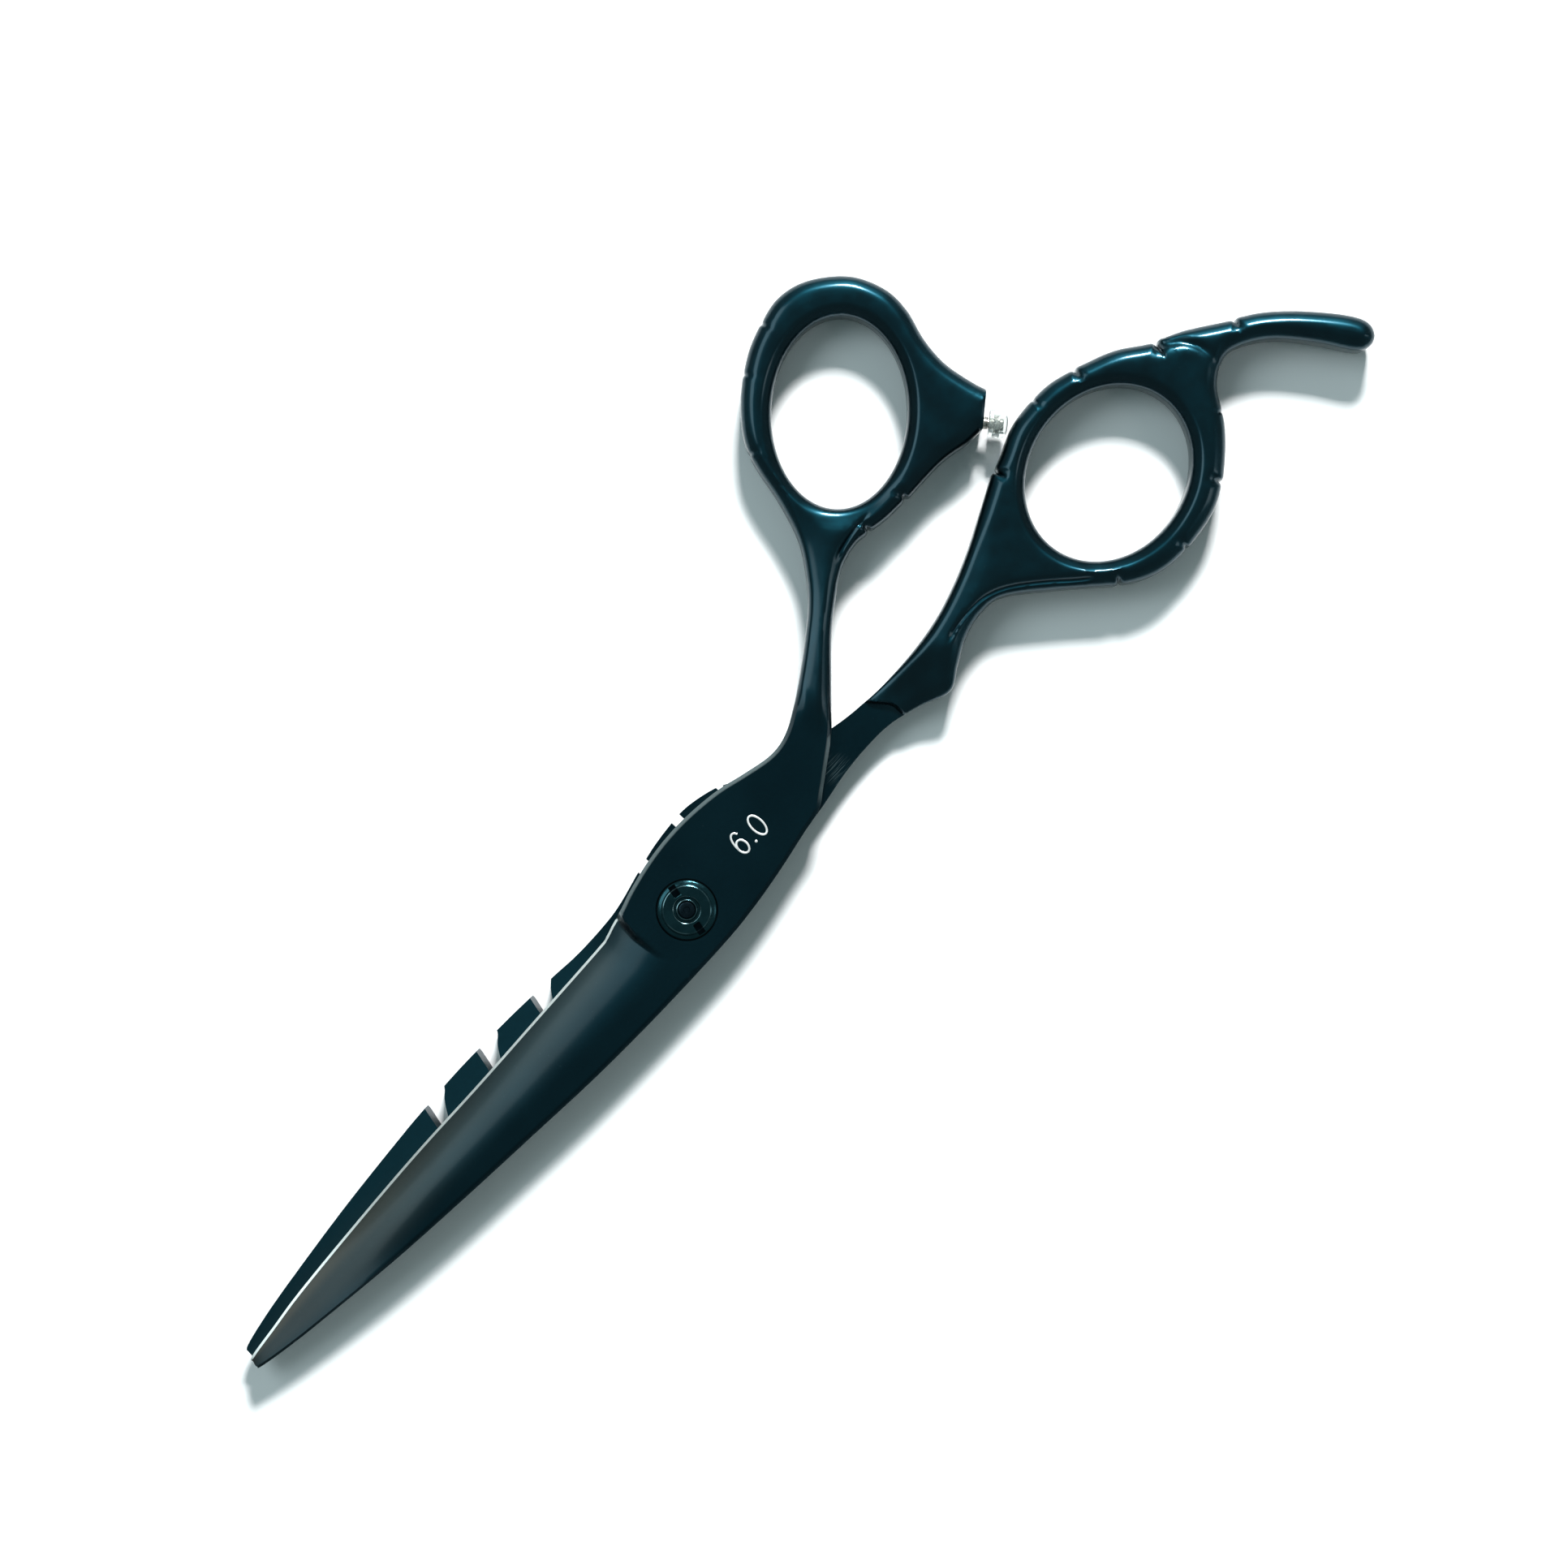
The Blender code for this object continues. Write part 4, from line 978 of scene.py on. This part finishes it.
class Finish:
    """A material whose nodes are added one after another."""

    def __init__(self, name, roughness=0.4, metallic=0.0):
        self.material = bpy.data.materials.new(name)
        self.material.use_nodes = True
        self.tree = self.material.node_tree
        self.shader = self.tree.nodes["Principled BSDF"]
        self.shader.inputs["Roughness"].default_value = roughness
        self.shader.inputs["Metallic"].default_value = metallic
        self.place = self.node("ShaderNodeTexCoord").outputs["Object"]

    def node(self, kind, **values):
        made = self.tree.nodes.new(kind)
        for label, value in values.items():
            setattr(made, label, value)
        return made

    def link(self, out, into):
        self.tree.links.new(out, into)

    def stretched(self, scale, turn=0.0):
        """Object coordinates in millimetres, scaled and turned."""
        mapping = self.node("ShaderNodeMapping")
        mapping.inputs["Scale"].default_value = [1000 * s for s in scale]
        mapping.inputs["Rotation"].default_value = (0, 0, math.radians(turn))
        self.link(self.place, mapping.inputs["Vector"])
        return mapping.outputs["Vector"]

    def noise(self, scale, detail=3.0, stretch=(1, 1, 1), roughness=0.5, turn=0.0):
        """Noise with scale in cells a millimetre."""
        made = self.node("ShaderNodeTexNoise")
        made.inputs["Scale"].default_value = scale
        made.inputs["Detail"].default_value = detail
        made.inputs["Roughness"].default_value = roughness
        self.link(self.stretched(stretch, turn), made.inputs["Vector"])
        return made.outputs["Fac"]

    def attribute(self, label):
        made = self.node("ShaderNodeAttribute")
        made.attribute_name = label
        return made.outputs["Fac"]

    def ramp(self, value, *stops):
        """Runs a value through stops of (place, grey)."""
        made = self.node("ShaderNodeValToRGB")
        ramp = made.color_ramp
        while len(ramp.elements) < len(stops):
            ramp.elements.new(0.5)
        for element, (at, grey) in zip(ramp.elements, stops):
            element.position = at
            element.color = (grey, grey, grey, 1)
        self.link(value, made.inputs["Fac"])
        return made.outputs["Color"]

    def rescale(self, value, low, high, to_low=0.0, to_high=1.0, smooth=False):
        """Takes a value from one range to another, and keeps it inside."""
        made = self.node("ShaderNodeMapRange", interpolation_type="SMOOTHSTEP" if smooth else "LINEAR")
        for label, number in (("From Min", low), ("From Max", high), ("To Min", to_low), ("To Max", to_high)):
            made.inputs[label].default_value = number
        self.link(value, made.inputs["Value"])
        return made.outputs["Result"]

    def near(self, place, reach):
        """1 at a place in millimetres, 0 beyond the reach."""
        made = self.node("ShaderNodeVectorMath", operation="DISTANCE")
        self.link(self.stretched((1, 1, 1)), made.inputs[0])
        made.inputs[1].default_value = place
        return self.rescale(made.outputs["Value"], 0.3 * reach, reach, 1.0, 0.0, smooth=True)

    def math(self, operation, a, b):
        made = self.node("ShaderNodeMath", operation=operation)
        for socket, value in zip(made.inputs, (a, b)):
            if isinstance(value, (int, float)):
                socket.default_value = value
            else:
                self.link(value, socket)
        return made.outputs["Value"]

    def mix(self, share, a, b):
        """Colour a where the share is 0, and b where it is 1."""
        made = self.node("ShaderNodeMix", data_type="RGBA")
        colours = [s for s in made.inputs if s.type == "RGBA"]
        for socket, value in zip((made.inputs["Factor"], *colours), (share, a, b)):
            if isinstance(value, (int, float)):
                socket.default_value = value
            elif isinstance(value, tuple):
                socket.default_value = (*value, 1)
            else:
                self.link(value, socket)
        return next(s for s in made.outputs if s.type == "RGBA")

    def colour(self, value):
        self.link(value, self.shader.inputs["Base Color"])

    def roughness(self, value):
        self.link(value, self.shader.inputs["Roughness"])

    def bump(self, value, depth):
        """Bump of a depth in millimetres."""
        made = self.node("ShaderNodeBump")
        made.inputs["Strength"].default_value = 1.0
        made.inputs["Distance"].default_value = depth * MM
        self.link(value, made.inputs["Height"])
        self.link(made.outputs["Normal"], self.shader.inputs["Normal"])

    def coat(self, weight, roughness):
        """A clear coat, heavier in some places than in others."""
        self.link(weight, self.shader.inputs["Coat Weight"])
        self.shader.inputs["Coat Roughness"].default_value = roughness


# Colours of the coating on the plate, the grips and the lower blade's inner face, and of the lighter band on
# the ground faces, which is partly a thinner coating and partly painted reflection.
TEAL_BLACK, TEAL_DEEP = (0.0029, 0.0192, 0.0275), (0.0019, 0.0140, 0.0205)
GRIP_TEAL, GRIP_DEEP = (0.0010, 0.0265, 0.0390), (0.0006, 0.0190, 0.0290)
INNER_TEAL = (0.0065, 0.0400, 0.0560)
GUNMETAL_SHEEN_HEEL, GUNMETAL_SHEEN_MID = (0.0290, 0.0440, 0.0480), (0.055, 0.062, 0.058)
GUNMETAL_SHEEN_TIP = (0.044, 0.041, 0.035)
# The bevel grey is a painted highlight on the upper plate's bevels.
BEVEL_HIGHLIGHT_GREY, WORN_GREY, SPECK_GREY = (0.115, 0.155, 0.160), (0.12, 0.15, 0.16), (0.10, 0.15, 0.17)
MARK_GREY = (0.07, 0.11, 0.12)
BARE_STEEL, BARE_WIDTH = (0.72, 0.73, 0.71), (0.24, 0.29)
GRINDING_MARKS = (22.6, -1.4, RIDE)  # place of the coarse marks on the lower plate
# The dial's slot colour is painted shade, for its slots and the flange's low rim.
DIAL_TEAL, DIAL_DEEP, DIAL_SLOT_SHADE = (0.012, 0.046, 0.056), (0.008, 0.034, 0.042), (0.001, 0.006, 0.010)
DIAL_BARE_AND_GLINT = (0.22, 0.34, 0.36)
DIAL_SHADE_BELOW = (5.36, 5.50)
DIAL_WEAR_AND_GLINT = ((1.10, 0.7), (1.50, 0.7), (2.62, 0.45))  # radius and share of the lighter ring, partly bare metal and partly painted highlight
STUD_BLACK, SPRING_GREY, NICKEL = (0.008, 0.019, 0.027), (0.50, 0.50, 0.48), (0.66, 0.63, 0.58)
MARK_SILVER, NYLON_WHITE = (0.80, 0.81, 0.80), (0.80, 0.79, 0.74)
SILICONE_CLEAR, SILICONE_CLOUDY = (0.93, 0.97, 0.95), (0.86, 0.92, 0.90)


def coated_steel(name, ground, marks=None):
    """The dark coating: satin on the plate, glossier on the grip, worn to steel at the cutting edge."""
    look = Finish(name, metallic=1.0)
    cloud = look.noise(0.12, 3)
    fine = look.noise(3.5, 4, roughness=0.6)
    grip, rim, edge = look.attribute("grip"), look.attribute("rim"), look.attribute("edge")
    clouds = look.rescale(cloud, 0.3, 0.7)
    coating = look.mix(grip, look.mix(clouds, TEAL_BLACK, TEAL_DEEP), look.mix(clouds, GRIP_TEAL, GRIP_DEEP))
    coating = look.mix(look.attribute("inner"), coating, INNER_TEAL)
    # The lighter band by the cutting edge is partly a thinner coating and partly painted reflection of the
    # light on the convex grind.
    tipward = look.attribute("tipward")
    gunmetal_sheen = look.mix(look.rescale(tipward, 0.0, 0.5), GUNMETAL_SHEEN_HEEL, GUNMETAL_SHEEN_MID)
    gunmetal_sheen = look.mix(look.rescale(tipward, 0.5, 1.0), gunmetal_sheen, GUNMETAL_SHEEN_TIP)
    coating = look.mix(look.math("MULTIPLY", look.attribute("ground"), ground), coating, gunmetal_sheen)
    # Painted highlight on the upper plate's bevels.
    coating = look.mix(look.math("MULTIPLY", look.attribute("bevel_highlight"), look.rescale(fine, 0.2, 0.8, 0.7, 1.0)),
                       coating, BEVEL_HIGHLIGHT_GREY)
    specks = look.ramp(look.noise(2.2, 2, roughness=0.7), (0.0, 0.0), (0.71, 0.0), (0.76, 1.0))
    coating = look.mix(look.math("MULTIPLY", specks, 0.08), coating, SPECK_GREY)
    if marks:
        lines = look.ramp(look.noise(1.0, 2, (0.25, 9, 1), 0.6, 25), (0.0, 0.0), (0.52, 0.0), (0.60, 1.0))
        patch = look.near(marks, 2.2)
        coating = look.mix(look.math("MULTIPLY", lines, patch), coating, MARK_GREY)
    worn = look.rescale(look.math("ADD", rim, look.rescale(fine, 0, 1, -0.06, 0.06)), 0.0, 0.10, 0.55, 0.0)
    worn = look.math("MULTIPLY", worn, look.rescale(grip, 0, 1, 0.5, 0.0))
    coating = look.mix(worn, coating, WORN_GREY)
    bare = look.rescale(edge, *BARE_WIDTH, 1.0, 0.0)
    look.colour(look.mix(bare, coating, BARE_STEEL))
    satin = look.rescale(fine, 0.2, 0.8, 0.38, 0.47)
    gloss = look.rescale(look.noise(0.5, 3), 0.3, 0.7, 0.29, 0.37)
    look.roughness(look.mix(grip, satin, gloss))
    grinding = look.noise(1.0, 4, (14, 0.6, 1), 0.65, 4)
    orange_peel = look.noise(1.1, 3)
    relief = look.math("ADD", look.math("MULTIPLY", grinding, look.rescale(grip, 0, 1, 0.5, 0.0)),
                       look.math("MULTIPLY", orange_peel, 0.6))
    look.bump(relief, 0.005)
    look.coat(look.rescale(grip, 0, 1, 0.22, 0.48), 0.17)
    return look.material


def turned_metal(name, colour, roughness, depth, metallic=1.0):
    """Metal off a lathe: fine rings about the pivot axis and small stains."""
    look = Finish(name, roughness, metallic)
    shade = look.noise(0.9, 4)
    darker = tuple(0.72 * c for c in colour)
    look.colour(look.mix(look.rescale(shade, 0.35, 0.7), colour, darker))
    rings = look.node("ShaderNodeTexWave", wave_type="RINGS", rings_direction="Z")
    rings.inputs["Scale"].default_value = 3.0
    rings.inputs["Distortion"].default_value = 0.4
    rings.inputs["Detail"].default_value = 2.0
    look.link(look.stretched((1, 1, 1)), rings.inputs["Vector"])
    look.roughness(look.rescale(look.noise(4.0, 3), 0.3, 0.7, roughness - 0.06, roughness + 0.08))
    look.bump(rings.outputs["Fac"], depth)
    return look.material


def dial_finish(name):
    """The dial's coating, with painted shade darkening the slots and the flange's low rim, and lighter rings at
    the edges of its raised rings that are partly worn metal and partly painted highlight.
    """
    look = Finish(name, metallic=0.9)
    colour = look.mix(look.rescale(look.noise(0.9, 4), 0.35, 0.7), DIAL_TEAL, DIAL_DEEP)
    # Painted shade: darker below a height, in the slots and on the flange's low rim.
    height = look.node("ShaderNodeSeparateXYZ")
    look.link(look.stretched((1, 1, 1)), height.inputs[0])
    colour = look.mix(look.rescale(height.outputs["Z"], *DIAL_SHADE_BELOW, 1.0, 0.0), colour, DIAL_SLOT_SHADE)
    # Lighter rings at the edges of the raised rings: partly worn metal, partly painted highlight where the
    # chamfers catch the light.
    radius = look.node("ShaderNodeVectorMath", operation="LENGTH")
    look.link(look.stretched((1, 1, 0)), radius.inputs[0])
    patches = look.rescale(look.noise(0.7, 3), 0.4, 0.62, 0.15, 1.0)
    for worn, share in DIAL_WEAR_AND_GLINT:
        gap = look.math("ABSOLUTE", look.math("SUBTRACT", radius.outputs["Value"], worn), 0.0)
        bare = look.math("MULTIPLY", patches, look.rescale(gap, 0.02, 0.06, share, 0.0))
        colour = look.mix(bare, colour, DIAL_BARE_AND_GLINT)
    look.colour(colour)
    look.roughness(look.rescale(look.noise(4.0, 3), 0.3, 0.7, 0.13, 0.24))
    look.bump(look.noise(2.5, 3), 0.004)
    return look.material


def nylon_finish(name, colour):
    """Slightly translucent nylon."""
    look = Finish(name)
    look.colour(look.mix(look.noise(1.2, 3), colour, tuple(0.85 * c for c in colour)))
    look.roughness(look.rescale(look.noise(6.0, 3), 0.3, 0.7, 0.42, 0.58))
    look.bump(look.noise(8.0, 3), 0.01)
    look.shader.inputs["Subsurface Weight"].default_value = 0.15
    look.shader.inputs["Subsurface Scale"].default_value = 0.0006
    return look.material


def silicone_finish(name):
    """Clear, slightly cloudy silicone."""
    look = Finish(name)
    look.colour(look.mix(look.noise(0.8, 2), SILICONE_CLEAR, SILICONE_CLOUDY))
    look.roughness(look.rescale(look.noise(3.0, 3), 0.3, 0.7, 0.06, 0.14))
    look.bump(look.noise(2.5, 3), 0.004)
    look.shader.inputs["Transmission Weight"].default_value = 0.92
    look.shader.inputs["IOR"].default_value = 1.41
    return look.material


def floor_finish(name):
    """Pale matt paper."""
    look = Finish(name)
    look.colour(look.mix(look.noise(0.01, 3), (0.86, 0.87, 0.87), (0.83, 0.84, 0.845)))
    look.roughness(look.rescale(look.noise(0.6, 3), 0.3, 0.7, 0.75, 0.9))
    look.shader.inputs["Specular IOR Level"].default_value = 0.2
    return look.material


# ---------------------------------------------------------------- the scene

def dress(node, material):
    """Gives a CAD node that stays a finish of its own."""
    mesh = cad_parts[node].data
    if not mesh.materials:
        mesh.materials.append(material)
    for i in range(len(mesh.materials)):
        mesh.materials[i] = material


def add_camera():
    """A long lens straight above the shears."""
    lens = bpy.data.cameras.new("overhead_camera")
    lens.lens = lens.sensor_width * (CAMERA_HEIGHT - RIDE) / IMAGE_WIDTH
    lens.clip_start, lens.clip_end = 0.01, 10.0
    camera = bpy.data.objects.new("overhead_camera", lens)
    bpy.context.scene.collection.objects.link(camera)
    camera.location = (AIM[0] * MM, AIM[1] * MM, CAMERA_HEIGHT * MM)
    camera.rotation_euler = (0, 0, math.radians(ROLL))
    bpy.context.scene.camera = camera


def add_softbox(name, bearing, elevation, reach, size, power, colour=(1, 1, 1)):
    """An area light aimed at the middle of the shears, with its reach and size in metres.

    Bearing 0 is the top of the view, and it grows to the right.
    """
    turn = math.radians(90 + ROLL - bearing)
    rise = math.radians(elevation)
    aim = Vector((AIM[0] * MM, AIM[1] * MM, RIDE * MM))
    way = Vector((math.cos(turn) * math.cos(rise), math.sin(turn) * math.cos(rise), math.sin(rise)))
    data = bpy.data.lights.new(name, "AREA")
    data.shape = "RECTANGLE"
    data.size, data.size_y = size
    data.energy = power
    data.color = colour
    light = bpy.data.objects.new(name, data)
    bpy.context.scene.collection.objects.link(light)
    light.location = aim + way * reach
    light.rotation_euler = (-way).to_track_quat("-Z", "Y").to_euler()


def add_surroundings():
    """The floor, the studio's even light and three softboxes."""
    world = bpy.data.worlds.new("studio")
    world.use_nodes = True
    background = world.node_tree.nodes["Background"]
    background.inputs["Color"].default_value = (*STUDIO_COLOUR, 1)
    background.inputs["Strength"].default_value = STUDIO_STRENGTH
    bpy.context.scene.world = world
    bpy.context.scene.view_settings.view_transform = "Standard"
    reach = FLOOR_REACH
    corners = [(-reach, -reach, 0), (reach, -reach, 0), (reach, reach, 0), (-reach, reach, 0)]
    floor = new_object("floor", mesh_of("floor", corners, [(0, 1, 2, 3)]), floor_finish("pale_floor"))
    floor.location.z = -FLOOR_GAP * MM
    add_softbox("key_softbox", 8, 37, 0.85, (0.17, 0.12), 15.0)
    add_softbox("left_softbox", -62, 50, 0.9, (0.55, 0.50), 2.6, (0.80, 0.96, 1.0))
    add_softbox("right_softbox", 95, 35, 0.9, (0.20, 0.40), 0.5)


def main():
    add_camera()
    # The second value scales the lighter band by the cutting edge, which is partly painted reflection.
    front_steel = coated_steel("front_coating", 1.0)
    rear_steel = coated_steel("rear_coating", 0.35, GRINDING_MARKS)
    dial_black = dial_finish("dial_black")
    stud_steel = turned_metal("stud_steel", STUD_BLACK, 0.24, 0.003, 0.9)
    spring_steel = turned_metal("spring_steel", SPRING_GREY, 0.32, 0.003)
    nickel = turned_metal("nickel", NICKEL, 0.24, 0.002)
    mark_silver = turned_metal("mark_silver", MARK_SILVER, 0.42, 0.003, 0.6)
    nylon = nylon_finish("bearing_nylon", NYLON_WHITE)
    silicone = silicone_finish("clear_silicone")

    front, border, hole_line = front_half_body()
    mark_surface(front, border, hole_line, FRONT_EDGE_Y, FRONT_SPINE_Y, False)
    rear, border, hole_line = rear_half_body(rear_steel)
    mark_surface(rear, border, hole_line, REAR_EDGE_Y, REAR_SPINE_Y, True)
    dial, stud = tension_dial(), stud_body(stud_steel)
    screw, pad = bumper_screw_body(nickel), bumper_pad_body()
    digits = size_mark(mark_silver)

    made = [(front, front_steel, "front_half", "front_coating", ("front_blade", "front_handle")),
            (rear, rear_steel, "rear_half", "rear_coating", ("rear_blade", "rear_handle")),
            (dial, dial_black, "tension_dial", "dial_coating", ("tension_dial",)),
            (stud, stud_steel, "rear_half", "stud_steel", ("pivot_stud",)),
            (screw, nickel, "front_half", "bumper_nickel", ("bumper_screw",)),
            (pad, silicone, "front_half", "bumper_silicone", ("bumper_pad",)),
            (digits, mark_silver, "front_half", "front_coating", ())]
    for piece, material, body, slot, nodes in made:
        piece.data.materials.clear()
        piece.data.materials.append(material)
        piece.data.polygons.foreach_set("material_index", [0] * len(piece.data.polygons))
        smooth_faces(piece.data, 60 if piece is digits else 28)
        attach(piece, body)
        if nodes:
            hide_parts(*nodes)
    for node in ("thrust_washer", "pivot_bush"):
        dress(node, nylon)
    for node in ("flat_washer", "spring_washer"):
        dress(node, spring_steel)
    add_surroundings()


main()
